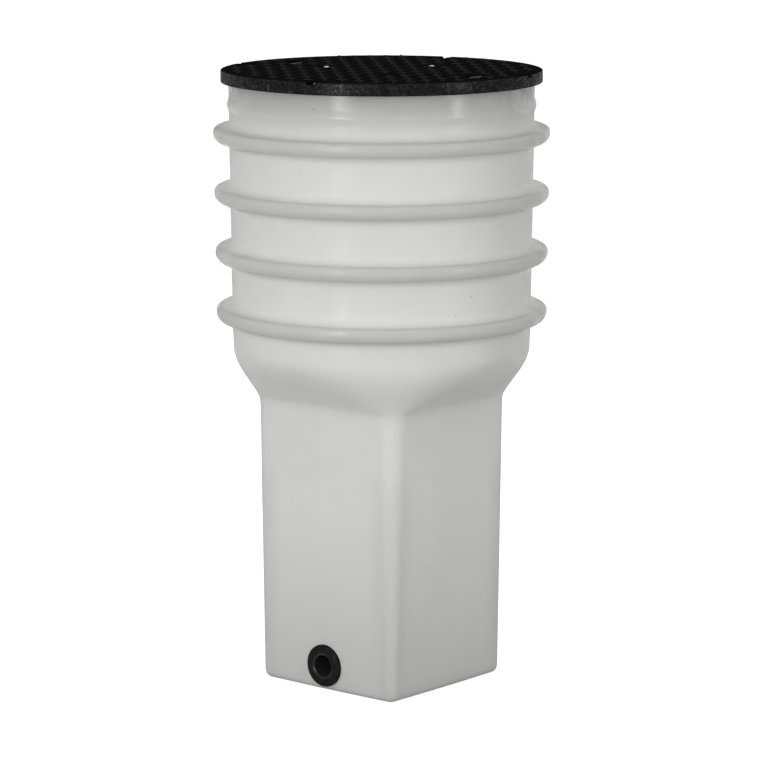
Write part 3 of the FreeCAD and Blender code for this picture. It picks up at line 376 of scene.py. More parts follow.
def section_radius(half, corner, angle):
    """Distance from the axis to a square outline with crowned sides and round corners, in one direction."""
    folded = abs((angle + math.pi / 4) % (math.pi / 2) - math.pi / 4)
    c = math.cos(FACE_CROWN)
    s = math.sin(FACE_CROWN)
    crown = (half - corner * (c - s)) / (1 - c + s)
    offset = (crown - corner) * s
    if folded < math.atan2(offset + corner * s, offset + corner * c):
        middle = half - crown
        return middle * math.cos(folded) + math.sqrt(crown ** 2 - (middle * math.sin(folded)) ** 2)
    across = offset * (math.cos(folded) - math.sin(folded))
    return offset * (math.cos(folded) + math.sin(folded)) + math.sqrt(corner ** 2 - across ** 2)


def shoulder_share(depth):
    """How far the shoulder has turned from round wall to square foot: slowly first, a soft crease last."""
    total = 0
    for k in range(-CREASE_SAMPLES, CREASE_SAMPLES + 1):
        at = min(1, max(0, depth + SHOULDER_CREASE * k / CREASE_SAMPLES))
        total += (at * at * (3 - 2 * at) + at ** SHOULDER_FULLNESS) / 2
    return total / (2 * CREASE_SAMPLES + 1)


def foot_loops():
    """Half width, corner radius, level and corner crowding of each loop from the shoulder to the base."""
    round_radius = wall_radius(SHOULDER_TOP)
    for k in range(1, SHOULDER_LOOPS + 1):
        depth = k / SHOULDER_LOOPS
        share = shoulder_share(depth)
        half = round_radius + (FOOT_HALF_TOP - round_radius) * share
        corner = round_radius + (FOOT_CORNER_TOP - round_radius) * share ** CORNER_LEAD
        yield half, corner, SHOULDER_TOP - depth * SHOULDER_HEIGHT, CORNER_CROWDING * share
    for k in range(1, FOOT_LOOPS + 1):
        level = FOOT_HEIGHT + (FOOT_EDGE - FOOT_HEIGHT) * k / FOOT_LOOPS
        rise = level / FOOT_HEIGHT
        half = FOOT_HALF_BOTTOM + (FOOT_HALF_TOP - FOOT_HALF_BOTTOM) * rise
        corner = FOOT_CORNER_BOTTOM + (FOOT_CORNER_TOP - FOOT_CORNER_BOTTOM) * rise
        yield half, corner, level, CORNER_CROWDING
    for k in range(1, EDGE_LOOPS + 1):
        angle = math.pi / 2 * k / EDGE_LOOPS
        inset = FOOT_EDGE * (1 - math.cos(angle))
        level = FOOT_EDGE * (1 - math.sin(angle))
        yield FOOT_HALF_BOTTOM - inset, FOOT_CORNER_BOTTOM - inset, level, CORNER_CROWDING


def moulded_body():
    """The one-piece body: a turned barrel, its lower edge drawn down loop by loop into the square foot."""
    upper_groove = BEAD_LEVEL + BEAD_HALF_HEIGHT
    lower_groove = BEAD_LEVEL - BEAD_HALF_HEIGHT
    corners = [
        (MOUTH_RADIUS, BODY_HEIGHT, 0),
        (RIM_RADIUS, BODY_HEIGHT, RIM_ROUNDING),
        (wall_radius(upper_groove), upper_groove, 2 * BEAD_ROUNDING),
        (wall_radius(BEAD_LEVEL) + BEAD_RELIEF, BEAD_LEVEL, BEAD_ROUNDING),
        (wall_radius(lower_groove), lower_groove, 2 * BEAD_ROUNDING),
    ]
    for index in range(RING_COUNT):
        corners += ring_corners(index)
    corners.append((wall_radius(SHOULDER_TOP), SHOULDER_TOP, 0))
    body = turned("moulded_body", corners, BODY_STEPS)
    pick(body, "VERT", lambda vert: abs(vert.co.z - SHOULDER_TOP) < 1e-5)
    bpy.ops.mesh.select_mode(type="EDGE")
    mesh = bmesh.from_edit_mesh(body.data)
    clock = mesh.verts.layers.float.new("clock")
    for vert in mesh.verts:
        vert[clock] = math.atan2(vert.co.y, vert.co.x)
    bmesh.update_edit_mesh(body.data)
    for half, corner, level, crowding in foot_loops():
        bpy.ops.mesh.extrude_edges_move(TRANSFORM_OT_translate={"value": (0, 0, -LOOP_DROP)})
        mesh = bmesh.from_edit_mesh(body.data)
        clock = mesh.verts.layers.float["clock"]
        for vert in mesh.verts:
            if vert.select:
                angle = vert[clock] + crowding / 4 * math.sin(4 * vert[clock])
                reach = section_radius(half, corner, angle)
                vert.co = (reach * math.cos(angle), reach * math.sin(angle), level)
        bmesh.update_edit_mesh(body.data)
    bpy.ops.mesh.edge_face_add()
    bpy.ops.mesh.inset(thickness=BASE_BORDER)
    tidy_mesh()
    bpy.ops.object.mode_set(mode="OBJECT")
    finish_with(body, "SOLIDIFY", thickness=WALL, offset=-1, use_even_offset=True)
    hole = begin("pipe_hole", bpy.ops.mesh.primitive_cylinder_add, vertices=HOLE_STEPS,
                 radius=SLEEVE_HOLE_RADIUS, depth=2 * LID_RADIUS, location=(0, 0, SLEEVE_LEVEL),
                 rotation=(math.pi / 2, 0, 0))
    bpy.ops.object.mode_set(mode="OBJECT")
    cut(body, hole)
    smooth(body, angle=32)
    return body


# Lid

def pocket_blocks(name, margin, low, high):
    """An upright block with round corners at each lifting pocket, larger than the pocket by a margin."""
    blocks = []
    for x in POCKET_PLACES:
        block = begin(name, bpy.ops.mesh.primitive_cube_add, size=1, location=(x, 0, (low + high) / 2),
                      scale=(POCKET_ALONG_X + 2 * margin, POCKET_ALONG_Y + 2 * margin, high - low))
        bpy.ops.object.mode_set(mode="OBJECT")
        bpy.ops.object.transform_apply(location=True, rotation=True, scale=True)
        bpy.ops.object.mode_set(mode="EDIT")
        pick(block, "EDGE", lambda edge: abs(edge.verts[0].co.z - edge.verts[1].co.z) > (high - low) / 2)
        bpy.ops.mesh.bevel(offset=POCKET_CORNER + margin, segments=8)
        bpy.ops.object.mode_set(mode="OBJECT")
        blocks.append(block)
    return join(blocks)


def lid_recesses():
    """All that is cut out of the lid's top: pockets, bolt recesses with their notches, screw recesses."""
    over = LID_TOP + CUTTER_OVERLAP
    cutters = [pocket_blocks("pocket", 0, LID_TOP - POCKET_DEPTH, over)]
    low = LID_TOP - BOLT_RECESS_DEPTH
    cutters.append(placed_round(
        "bolt_recess", bpy.ops.mesh.primitive_cylinder_add, BOLT_COUNT, BOLT_CIRCLE, BOLT_TURN,
        vertices=FITTING_STEPS, radius=BOLT_RECESS_RADIUS, depth=over - low,
        location=(0, 0, (low + over) / 2)))
    low = LID_TOP - NOTCH_DEPTH
    cutters.append(placed_round(
        "rim_notch", bpy.ops.mesh.primitive_cube_add, BOLT_COUNT, BOLT_CIRCLE, BOLT_TURN,
        size=1, scale=(NOTCH_LENGTH, NOTCH_WIDTH, over - low),
        location=(NOTCH_LENGTH / 2, 0, (low + over) / 2)))
    low = LID_TOP - SCREW_RECESS_DEPTH
    cutters.append(placed_round(
        "screw_recess", bpy.ops.mesh.primitive_cylinder_add, SCREW_COUNT, SCREW_CIRCLE, SCREW_TURN,
        vertices=FITTING_STEPS, radius=SCREW_RECESS_RADIUS, depth=over - low,
        location=(0, 0, (low + over) / 2)))
    return cutters


def lid_stiffeners():
    """Ribs, rings, screw bosses and pocket housings under the lid's skin."""
    under = LID_TOP - LID_SKIN
    middle = (SEAT_LEVEL + under) / 2
    length = SPIGOT_RADIUS - SPIGOT_WALL - SCREW_CIRCLE + RIB_WIDTH
    pieces = [
        placed_round(
            "rib", bpy.ops.mesh.primitive_cube_add, RIB_COUNT, SCREW_CIRCLE + length / 2, math.pi / RIB_COUNT,
            size=1, scale=(length, RIB_WIDTH, under - SEAT_LEVEL), location=(0, 0, middle)),
        placed_round(
            "screw_boss", bpy.ops.mesh.primitive_cylinder_add, SCREW_COUNT, SCREW_CIRCLE, SCREW_TURN,
            vertices=FITTING_STEPS, radius=SCREW_BOSS_RADIUS, depth=under - SEAT_LEVEL,
            location=(0, 0, middle)),
    ]
    for radius in (RIB_RING_RADIUS, SCREW_CIRCLE):
        outer = radius + RIB_WIDTH
        ring = turned("rib_ring", [
            (radius, SEAT_LEVEL, 0), (outer, SEAT_LEVEL, 0), (outer, under, 0), (radius, under, 0),
            (radius, SEAT_LEVEL, 0),
        ], RIB_RING_STEPS)
        bpy.ops.object.mode_set(mode="OBJECT")
        pieces.append(ring)
    floor = LID_TOP - POCKET_DEPTH - POCKET_WALL
    housing = pocket_blocks("pocket_housing", POCKET_WALL, floor, under)
    cut(housing, pocket_blocks("pocket_space", 0, LID_TOP - POCKET_DEPTH, LID_TOP))
    return pieces + [housing]


def clear_of_fittings(x, y):
    """Whether a stud at this place keeps off the pockets, the screws, the bolts and the edge."""
    reach = TREAD_LENGTH / 2
    if math.hypot(x, y) + reach > LID_RADIUS - TREAD_MARGIN:
        return False
    if abs(abs(x) - POCKET_REACH) < POCKET_ALONG_X / 2 + reach and abs(y) < POCKET_ALONG_Y / 2 + reach:
        return False
    for count, radius, first, gap in (
        (SCREW_COUNT, SCREW_CIRCLE, SCREW_TURN, SCREW_RECESS_RADIUS + reach),
        (BOLT_COUNT, BOLT_CIRCLE, BOLT_TURN, BOLT_RECESS_RADIUS + reach),
    ):
        for k in range(count):
            angle = first + FULL_TURN * k / count
            if math.hypot(x - radius * math.cos(angle), y - radius * math.sin(angle)) < gap:
                return False
    return True


def tread_studs():
    """The raised lozenges: two crossed sets, each one stud repeated along X and Y, clear of the fittings."""
    step = TREAD_PITCH * math.sqrt(2)
    count = 2 * int(LID_RADIUS / step) + 3
    sets = []
    for turn, shift in ((TREAD_TURN, 0), (TREAD_TURN + math.pi / 2, step / 2)):
        first = -(count // 2) * step + shift
        stud = begin("tread_stud", bpy.ops.mesh.primitive_cone_add, vertices=4, radius1=0.5,
                     radius2=0.5 * TREAD_TOP_SHARE, depth=TREAD_HEIGHT)
        bpy.ops.transform.resize(value=(TREAD_LENGTH, TREAD_WIDTH, 1), center_override=(0, 0, 0))
        pick(stud, "EDGE", lambda edge: max(vert.co.z for vert in edge.verts) > 0)
        bpy.ops.mesh.bevel(offset=TREAD_ROUNDING, segments=2)
        pick(stud, "FACE", lambda face: face.normal.z < -0.9)
        bpy.ops.mesh.delete(type="FACE")
        bpy.ops.mesh.select_all(action="SELECT")
        bpy.ops.transform.rotate(value=-turn, orient_axis="Z", center_override=(0, 0, 0))
        bpy.ops.transform.translate(value=(first, first, LID_TOP + TREAD_HEIGHT / 2))
        bpy.ops.object.mode_set(mode="OBJECT")
        finish_with(stud, "ARRAY", use_relative_offset=False, use_constant_offset=True, count=count,
                    constant_offset_displace=(step, 0, 0))
        finish_with(stud, "ARRAY", use_relative_offset=False, use_constant_offset=True, count=count,
                    constant_offset_displace=(0, step, 0))
        bpy.ops.object.mode_set(mode="EDIT")

        def blocked(vert):
            x = round((vert.co.x - first) / step) * step + first
            y = round((vert.co.y - first) / step) * step + first
            return not clear_of_fittings(x, y)

        pick(stud, "VERT", blocked)
        bpy.ops.mesh.delete(type="VERT")
        bpy.ops.object.mode_set(mode="OBJECT")
        sets.append(stud)
    return sets


def tread_lid():
    """The moulded cover: rim, seal groove, spigot and thin skin, cut for its fittings, with its tread."""
    lid = begin("tread_lid", bpy.ops.mesh.primitive_cylinder_add, vertices=LID_STEPS, radius=LID_RADIUS,
                depth=LID_EDGE, location=(0, 0, SEAT_LEVEL + LID_EDGE / 2))
    bpy.ops.object.mode_set(mode="OBJECT")
    bpy.ops.object.transform_apply(location=True, rotation=True, scale=True)
    bpy.ops.object.mode_set(mode="EDIT")
    pick(lid, "EDGE", lambda edge: abs(edge.verts[0].co.z - edge.verts[1].co.z) < LID_EDGE / 2)
    bpy.ops.mesh.bevel(offset=LID_ROUNDING, segments=3)
    groove = SEAL_RADIUS + SEAL_WIDTH / 2
    pick(lid, "FACE", lambda face: face.normal.z < -0.99)
    bpy.ops.mesh.inset(thickness=LID_RADIUS - LID_ROUNDING - groove)
    bpy.ops.mesh.inset(thickness=SEAL_WIDTH)
    bpy.ops.mesh.inset(thickness=groove - SEAL_WIDTH - SPIGOT_RADIUS)
    draw_up(-SPIGOT_DEPTH)
    bpy.ops.mesh.inset(thickness=SPIGOT_WALL)
    draw_up(SPIGOT_DEPTH + LID_EDGE - LID_SKIN)

    def in_groove(face):
        middle = face.calc_center_median()
        return face.normal.z < -0.99 and abs(math.hypot(middle.x, middle.y) - SEAL_RADIUS) < SEAL_WIDTH / 3

    pick(lid, "FACE", in_groove)
    draw_up(SEAL_HEIGHT)
    bpy.ops.mesh.select_all(action="SELECT")
    bpy.ops.mesh.normals_make_consistent(inside=False)
    bpy.ops.object.mode_set(mode="OBJECT")
    stiffeners = lid_stiffeners()
    for cutter in lid_recesses():
        cut(lid, cutter)
    finish_with(lid, "BEVEL", width=RECESS_ROUNDING, segments=2, limit_method="ANGLE",
                angle_limit=math.radians(50))
    join([lid] + stiffeners + tread_studs())
    smooth(lid, angle=28)
    return lid


def lift_bar():
    """The steel bars across the two lifting pockets."""
    half = POCKET_ALONG_Y / 2 + LIFT_BAR_BITE
    level = LID_TOP - LIFT_BAR_COVER - LIFT_BAR_RADIUS
    bars = []
    for x in POCKET_PLACES:
        bar = turned("lift_bar", [
            (0, -half, 0), (LIFT_BAR_RADIUS, -half, LIFT_BAR_ROUNDING),
            (LIFT_BAR_RADIUS, half, LIFT_BAR_ROUNDING), (0, half, 0),
        ], FITTING_STEPS, axis=(0, 1, 0), centre=(x, 0, level))
        bpy.ops.object.mode_set(mode="OBJECT")
        bars.append(bar)
    bars = join(bars)
    smooth(bars, angle=40)
    return bars


def disc_screw():
    """The bright domed screws in the lid, with a socket in each head."""
    seat = LID_TOP - SCREW_RECESS_DEPTH
    screws = []
    for k, height in enumerate(SCREW_HEAD_HEIGHTS):
        top = seat + height
        angle = SCREW_TURN + FULL_TURN * k / SCREW_COUNT
        screw = turned("disc_screw", [
            (0, SCREW_TIP, 0), (SCREW_RADIUS, SCREW_TIP, 0.0006), (SCREW_RADIUS, seat, 0.0004),
            (SCREW_HEAD_RADIUS, seat, 0.0004), (SCREW_HEAD_RADIUS, seat + height * 0.5, 0.0015),
            (SCREW_CROWN_RADIUS, top, 0.003), (SCREW_SOCKET_RADIUS, top, 0.0003),
            (SCREW_SOCKET_FOOT, top - SCREW_SOCKET_DEPTH, 0.0003), (0, top - SCREW_SOCKET_DEPTH, 0),
        ], SCREW_STEPS, centre=(SCREW_CIRCLE * math.cos(angle), SCREW_CIRCLE * math.sin(angle), 0))
        bpy.ops.object.mode_set(mode="OBJECT")
        screws.append(screw)
    screws = join(screws)
    smooth(screws, angle=35)
    return screws


# Pipe sleeves

def pipe_sleeve(name, side):
    """A rubber sleeve in one face of the foot: its flange, the groove for the wall and the tapered seal."""
    inner_face = SLEEVE_FACE - WALL
    tip = inner_face - SLEEVE_LENGTH
    outer = SLEEVE_FACE + SLEEVE_FLANGE
    corners = [
        (PIPE_RADIUS + SLEEVE_WALL / 2, tip, 0),
        (PIPE_RADIUS + SLEEVE_WALL, tip, 0.001),
        (SLEEVE_MOUTH_RADIUS + SLEEVE_WALL, inner_face - SLEEVE_LIP, 0.002),
        (SLEEVE_LIP_RADIUS, inner_face - SLEEVE_LIP, 0.0015),
        (SLEEVE_LIP_RADIUS, inner_face - SLEEVE_LIP_PLAY, 0.001),
        (SLEEVE_HOLE_RADIUS - SLEEVE_PLAY, inner_face - SLEEVE_LIP_PLAY, 0.0005),
        (SLEEVE_HOLE_RADIUS - SLEEVE_PLAY, SLEEVE_FACE - SLEEVE_FLANGE_BITE, 0.0005),
        (SLEEVE_FLANGE_RADIUS, SLEEVE_FACE - SLEEVE_FLANGE_BITE, 0.0005),
        (SLEEVE_FLANGE_RADIUS, SLEEVE_FACE + SLEEVE_FLANGE * 0.55, 0.0025),
        (SLEEVE_FLANGE_RADIUS - SLEEVE_DOME, outer, SLEEVE_DOME),
        (SLEEVE_MOUTH_RADIUS + SLEEVE_DOME, outer, SLEEVE_DOME),
        (SLEEVE_MOUTH_RADIUS, outer - SLEEVE_ROUNDING, 0.003),
        (SLEEVE_MOUTH_RADIUS - SLEEVE_MOUTH_TAPER, SLEEVE_FACE - SLEEVE_MOUTH_DEPTH, 0.004),
        (PIPE_RADIUS, tip + SLEEVE_SEAL, 0.006),
        (PIPE_RADIUS, tip, 0.001),
        (PIPE_RADIUS + SLEEVE_WALL / 2, tip, 0),
    ]
    sleeve = turned(name, corners, SLEEVE_STEPS, axis=(0, side, 0), centre=(0, 0, SLEEVE_LEVEL))
    bpy.ops.object.mode_set(mode="OBJECT")
    smooth(sleeve, angle=40)
    return sleeve


# Finishes

class Signal:
    """An output socket of a finish. Arithmetic on signals adds Math nodes to the same finish."""

    def __init__(self, finish, socket):
        self.finish = finish
        self.socket = socket

    def calculate(self, operation, first, second):
        return self.finish.node("ShaderNodeMath", {"operation": operation}, {0: first, 1: second})

    def __add__(self, other):
        return self.calculate("ADD", self, other)

    def __sub__(self, other):
        return self.calculate("SUBTRACT", self, other)

    def __rsub__(self, other):
        return self.calculate("SUBTRACT", other, self)

    def __mul__(self, other):
        return self.calculate("MULTIPLY", self, other)

    __radd__ = __add__
    __rmul__ = __mul__


class Finish:
    """The node tree of a material or of the world."""

    def __init__(self, owner):
        self.owner = owner
        owner.use_nodes = True
        self.tree = owner.node_tree
        self.tree.nodes.clear()

    def node(self, kind, settings, inputs, output=0):
        """Add a node, set it up, fill or link its inputs and give back one of its outputs."""
        made = self.tree.nodes.new(kind)
        for key, value in settings.items():
            setattr(made, key, value)
        for key, value in inputs.items():
            if isinstance(value, Signal):
                self.tree.links.new(value.socket, made.inputs[key])
            else:
                made.inputs[key].default_value = value
        return Signal(self, made.outputs[output]) if made.outputs else None

    def place(self):
        """Places in the piece's own coordinates, in metres."""
        return self.node("ShaderNodeTexCoord", {}, {}, "Object")

    def axes(self, place, names):
        """The named coordinates of a place, one signal each."""
        return [self.node("ShaderNodeSeparateXYZ", {}, {"Vector": place}, name) for name in names]

    def noise(self, place, scale, detail=2.0, roughness=0.5):
        """A cloudy pattern."""
        return self.node("ShaderNodeTexNoise", {}, {"Vector": place, "Scale": scale, "Detail": detail,
                                                    "Roughness": roughness}, "Fac")

    def stretched(self, place, scale):
        """Places multiplied by a scale for each axis."""
        return self.node("ShaderNodeMapping", {}, {"Vector": place, "Scale": scale})

    def between(self, signal, low, high):
        """A signal drawn out so that low becomes 0 and high becomes 1."""
        return self.node("ShaderNodeMapRange", {"interpolation_type": "SMOOTHSTEP"},
                         {"Value": signal, "From Min": low, "From Max": high})

    def blend(self, first, second, share):
        """A colour between the first, at share 0, and the second, at share 1."""
        return self.node("ShaderNodeMix", {"data_type": "RGBA"}, {0: share, 6: first, 7: second}, 2)

    def bump(self, height, depth, strength=1.0, under=None):
        """A relief of this depth in metres, on top of another one if that is given."""
        inputs = {"Height": height, "Distance": depth, "Strength": strength}
        if under:
            inputs["Normal"] = under
        return self.node("ShaderNodeBump", {}, inputs)

    def surface(self, values):
        """Close the finish with a Principled surface of these values."""
        shader = self.node("ShaderNodeBsdfPrincipled", {}, values)
        self.node("ShaderNodeOutputMaterial", {}, {"Surface": shader})
        return self.owner


def new_finish(name):
    """An empty finish on a new material."""
    return Finish(bpy.data.materials.new(name))


def milky_polyethylene():
    """Milky white moulded polyethylene: a satin skin with faint orange peel, soft waves, scuffs and specks.

    Painted shade makes parts of it a little greyer: a painted shadow of the lid on the wall under it, and
    painted shade on the rings, the foot's corners and its lower end.
    """
    finish = new_finish("milky_polyethylene")
    place = finish.place()
    cloud = finish.noise(place, 4.0, 3.0)
    scuff = finish.noise(finish.stretched(place, (30.0, 30.0, 9.0)), 3.0, 6.0, 0.7)
    marks = finish.between(scuff, 0.60, 0.74)
    peel = finish.noise(place, 210.0, 2.0)
    wave = finish.noise(place, 9.0, 1.0)
    x, y, level = finish.axes(place, "XYZ")
    dust = finish.between(DUST_LEVEL - level, 0.0, DUST_LEVEL) * finish.between(cloud, 0.35, 0.7)
    shade = finish.blend((0.81, 0.81, 0.80, 1), (0.77, 0.77, 0.76, 1), finish.between(cloud, 0.3, 0.75))
    shade = finish.blend(shade, (0.66, 0.65, 0.63, 1), marks * 0.22 + dust * 0.25)
    # Painted shadow of the lid: the wall greys towards the top
    painted_lid_shadow = finish.between(level, *LID_SHADOW_PAINTED_LEVELS)
    shade = finish.blend(shade, (0.40, 0.40, 0.396, 1), painted_lid_shadow)
    reach = finish.node("ShaderNodeMath", {"operation": "SQRT"}, {0: x * x + y * y})
    proud = reach - level * math.tan(BARREL_DRAFT) - wall_radius(0)
    # Painted shade on the rings, darker where they stand out from the wall; the same mask adds gloss to them
    on_barrel = finish.between(level, SHOULDER_TOP, SHOULDER_TOP + RING_PAINTED_SHADE_START)
    ring_painted_shade_and_gloss = finish.between(proud, *RING_PAINTED_SHADE_RELIEFS) * on_barrel
    shade = finish.blend(shade, (0.58, 0.58, 0.572, 1), ring_painted_shade_and_gloss * 0.85)
    # Painted shade: greyer towards the bottom
    low = 1 - finish.between(level, *LOW_PAINTED_SHADE_LEVELS)
    shade = finish.blend(shade, (0.62, 0.62, 0.612, 1), low * 0.9)
    # Painted shade on the foot's corners
    corner = finish.between(reach, *CORNER_PAINTED_SHADE_REACHES) * (1 - finish.between(level, *CORNER_PAINTED_SHADE_LEVELS))
    shade = finish.blend(shade, (0.50, 0.50, 0.492, 1), corner * 0.26)
    speck = finish.between(finish.noise(place, 75.0, 2.0), 0.765, 0.79)
    shade = finish.blend(shade, (0.16, 0.155, 0.15, 1), speck * 0.4)
    gloss = 0.35 + finish.between(finish.noise(place, 26.0, 3.0, 0.6), 0.35, 0.65) * 1.1
    sheen = 0.07 + finish.between(level, *BARREL_SHEEN_LEVELS) * 0.15
    sheen = sheen + finish.between(level, *NECK_SHEEN_LEVELS) * 0.34 + ring_painted_shade_and_gloss * 0.16
    waves = finish.bump(wave, 0.004)
    skin = finish.bump(peel, 0.00022, 0.5, waves)
    return finish.surface({
        "Base Color": shade, "Roughness": 0.5 + marks * 0.12 + cloud * 0.08, "Specular IOR Level": 0.0,
        "Coat Weight": sheen * gloss, "Coat Roughness": 0.22, "Subsurface Weight": 0.35,
        "Subsurface Radius": (0.02, 0.02, 0.02), "Subsurface Scale": 0.5, "Normal": skin,
    })


def grained_black():
    """Black moulded plastic: a dull, dusty tread, a grained side with a sheen, streaks and one pale seam."""
    finish = new_finish("grained_black_plastic")
    place = finish.place()
    mottle = finish.noise(place, 70.0, 4.0, 0.65)
    grain = finish.noise(place, 620.0, 3.0, 0.6)
    speckle = finish.between(finish.noise(place, 230.0, 3.0, 0.75), 0.47, 0.62)
    streak = finish.noise(finish.stretched(place, (420.0, 420.0, 60.0)), 1.0, 2.0)
    dust = finish.between(finish.noise(place, 22.0, 5.0, 0.7), 0.5, 0.8)
    x, y, level = finish.axes(place, "XYZ")
    side = finish.between(x * x + y * y, *((LID_RADIUS - depth) ** 2 for depth in LID_SIDE_DEPTHS))
    off_seam = x - LID_RADIUS * math.cos(LID_SEAM_TURN)
    seam = (1 - finish.between(off_seam * off_seam, *LID_SEAM_SQUARES)) * finish.between(0 - y, 0.2, 0.25)
    seam = seam * side * finish.between(LID_TOP - LID_SEAM_DROP - level, 0.0, LID_SEAM_FADE)
    cloudy = finish.between(mottle, 0.35, 0.7)
    shade = finish.blend((0.0045, 0.0045, 0.005, 1), (0.009, 0.009, 0.0095, 1), cloudy)
    smear = side * finish.between(streak, 0.5, 0.8) * finish.between(mottle, 0.4, 0.65)
    # Painted light: the tread's studs are lighter than the ground between them
    stud = finish.between(level, *(LID_TOP + height for height in STUD_PAINTED_LIGHT_HEIGHTS))
    shade = finish.blend(shade, (0.045, 0.045, 0.044, 1), dust * 0.08 + smear * 0.25)
    shade = finish.blend(shade, (0.034, 0.034, 0.034, 1), stud * 0.8)
    shade = finish.blend(shade, (0.30, 0.30, 0.29, 1), seam * 0.35)
    skin = finish.bump(grain * 1.2 + streak * 0.25 + mottle * 0.8, 0.0009, 0.8)
    return finish.surface({
        "Base Color": shade, "Roughness": 0.8 - side * 0.25 + mottle * 0.1, "Specular IOR Level": 0.0,
        "Coat Weight": 0.006 + side * (0.05 + mottle * (0.10 + speckle * 0.72)), "Coat Roughness": 0.3,
        "Normal": skin,
    })


def sleeve_rubber():
    """Soft black rubber with a dull sheen, glossier round the mouth, and paler down its hole with painted
    light.
    """
    finish = new_finish("sleeve_rubber")
    place = finish.place()
    bloom = finish.noise(place, 45.0, 4.0, 0.6)
    grain = finish.noise(place, 900.0, 2.0)
    cloudy = finish.between(bloom, 0.35, 0.7)
    shade = finish.blend((0.010, 0.010, 0.0105, 1), (0.016, 0.016, 0.0165, 1), cloudy)
    x, height = finish.axes(place, "XZ")
    height = height - SLEEVE_LEVEL
    off_axis = x * x + height * height
    worn = 1 - finish.between(off_axis, *(radius ** 2 for radius in SLEEVE_WORN_RADII))
    # Painted light: the inside of the sleeve's hole is paler than the flange
    painted_bore_light = 1 - finish.between(off_axis, *(radius ** 2 for radius in SLEEVE_PAINTED_LIGHT_RADII))
    shade = finish.blend(shade, (0.022, 0.022, 0.0225, 1), painted_bore_light * 0.85)
    skin = finish.bump(grain, 0.0002, 0.5)
    return finish.surface({
        "Base Color": shade, "Roughness": 0.5 + bloom * 0.2, "Specular IOR Level": 0.0,
        "Coat Weight": 0.07 + worn * (0.14 + bloom * 0.3), "Coat Roughness": 0.24, "Normal": skin,
    })


def metal(name, light, dark, roughness, grain_scale):
    """A metal with fine tool marks and a little tarnish."""
    finish = new_finish(name)
    place = finish.place()
    tarnish = finish.noise(place, 35.0, 4.0, 0.6)
    marks = finish.noise(finish.stretched(place, grain_scale), 1.0, 3.0)
    shade = finish.blend(light, dark, finish.between(tarnish, 0.35, 0.75))
    return finish.surface({"Base Color": shade, "Metallic": 1.0, "Roughness": roughness + marks * 0.16,
                           "Normal": finish.bump(marks, 0.00006, 0.6)})


def zinc_sheet():
    """Zinc plated sheet with its crystal spangle."""
    finish = new_finish("zinc_sheet")
    place = finish.place()
    spangle = finish.node("ShaderNodeTexVoronoi", {}, {"Vector": place, "Scale": 85.0}, "Color")
    flake = finish.axes(spangle, "X")[0]
    shade = finish.blend((0.46, 0.48, 0.50, 1), (0.62, 0.64, 0.66, 1), flake)
    return finish.surface({"Base Color": shade, "Metallic": 1.0, "Roughness": 0.32 + flake * 0.16})


def moulded(name, light, dark, roughness, peel_depth):
    """A coloured moulding or coating with a fine skin and slight wear."""
    finish = new_finish(name)
    place = finish.place()
    wear = finish.noise(place, 60.0, 5.0, 0.65)
    peel = finish.noise(place, 700.0, 2.0)
    shade = finish.blend(light, dark, finish.between(wear, 0.35, 0.75))
    return finish.surface({"Base Color": shade, "Roughness": roughness + wear * 0.15,
                           "Normal": finish.bump(peel, peel_depth, 0.6)})


def bead_foam():
    """Pale foam of small fused beads."""
    finish = new_finish("bead_foam")
    place = finish.place()
    beads = finish.node("ShaderNodeTexVoronoi", {"feature": "DISTANCE_TO_EDGE"},
                        {"Vector": place, "Scale": 260.0})
    seam = finish.between(beads, 0.0, 0.12)
    shade = finish.blend((0.62, 0.63, 0.64, 1), (0.80, 0.81, 0.82, 1), seam)
    return finish.surface({"Base Color": shade, "Roughness": 0.75 + 0.1 * seam,
                           "Normal": finish.bump(seam, 0.0004)})


def clear_glass():
    """Clear glass with faint smears."""
    finish = new_finish("clear_glass")
    smear = finish.noise(finish.place(), 80.0, 3.0)
    return finish.surface({"Base Color": (0.93, 0.96, 0.95, 1), "Roughness": 0.02 + smear * 0.04,
                           "Transmission Weight": 1.0, "IOR": 1.5})


def dress_solids(skip):
    """Give every solid that stays its finish, by its slot in the record."""
    finishes = {
        "stainless_steel": metal("stainless_steel", (0.66, 0.66, 0.65, 1), (0.52, 0.52, 0.51, 1), 0.22,
                                 (400, 60, 400)),
        "zinc_steel": zinc_sheet(),
        "brass": metal("cast_brass", (0.72, 0.53, 0.26, 1), (0.52, 0.36, 0.17, 1), 0.28, (300, 300, 300)),
        "nickelled_brass": metal("nickel_plate", (0.68, 0.66, 0.62, 1), (0.56, 0.54, 0.50, 1), 0.16,
                                 (200, 200, 200)),
        "foam": bead_foam(),
        "white_seat": moulded("white_seat", (0.84, 0.84, 0.83, 1), (0.78, 0.78, 0.77, 1), 0.30, 0.0001),
        "blue_paint": moulded("blue_powder_coat", (0.03, 0.13, 0.36, 1), (0.025, 0.10, 0.28, 1),
                              0.32, 0.0003),
        "black_coupling": moulded("black_coupling", (0.022, 0.022, 0.024, 1), (0.04, 0.04, 0.042, 1),
                                  0.40, 0.0002),
        "blue_coupling": moulded("blue_coupling", (0.02, 0.12, 0.40, 1), (0.02, 0.09, 0.30, 1), 0.36, 0.0002),
        "register_plastic": moulded("register_plastic", (0.03, 0.14, 0.42, 1), (0.025, 0.11, 0.34, 1),
                                    0.18, 0.0001),
        "dial": moulded("plain_dial", (0.85, 0.85, 0.83, 1), (0.80, 0.80, 0.78, 1), 0.45, 0.00005),
        "glass": clear_glass(),
        "black_rubber": RUBBER,
    }
    slots = {part["node"]: part["material_slot"] for part in frame["record"]["subparts"]}
    for name, solid in frame["nodes"].items():
        if name not in skip:
            for slot in solid.material_slots:
                slot.material = finishes[slots[name]]


# Stage

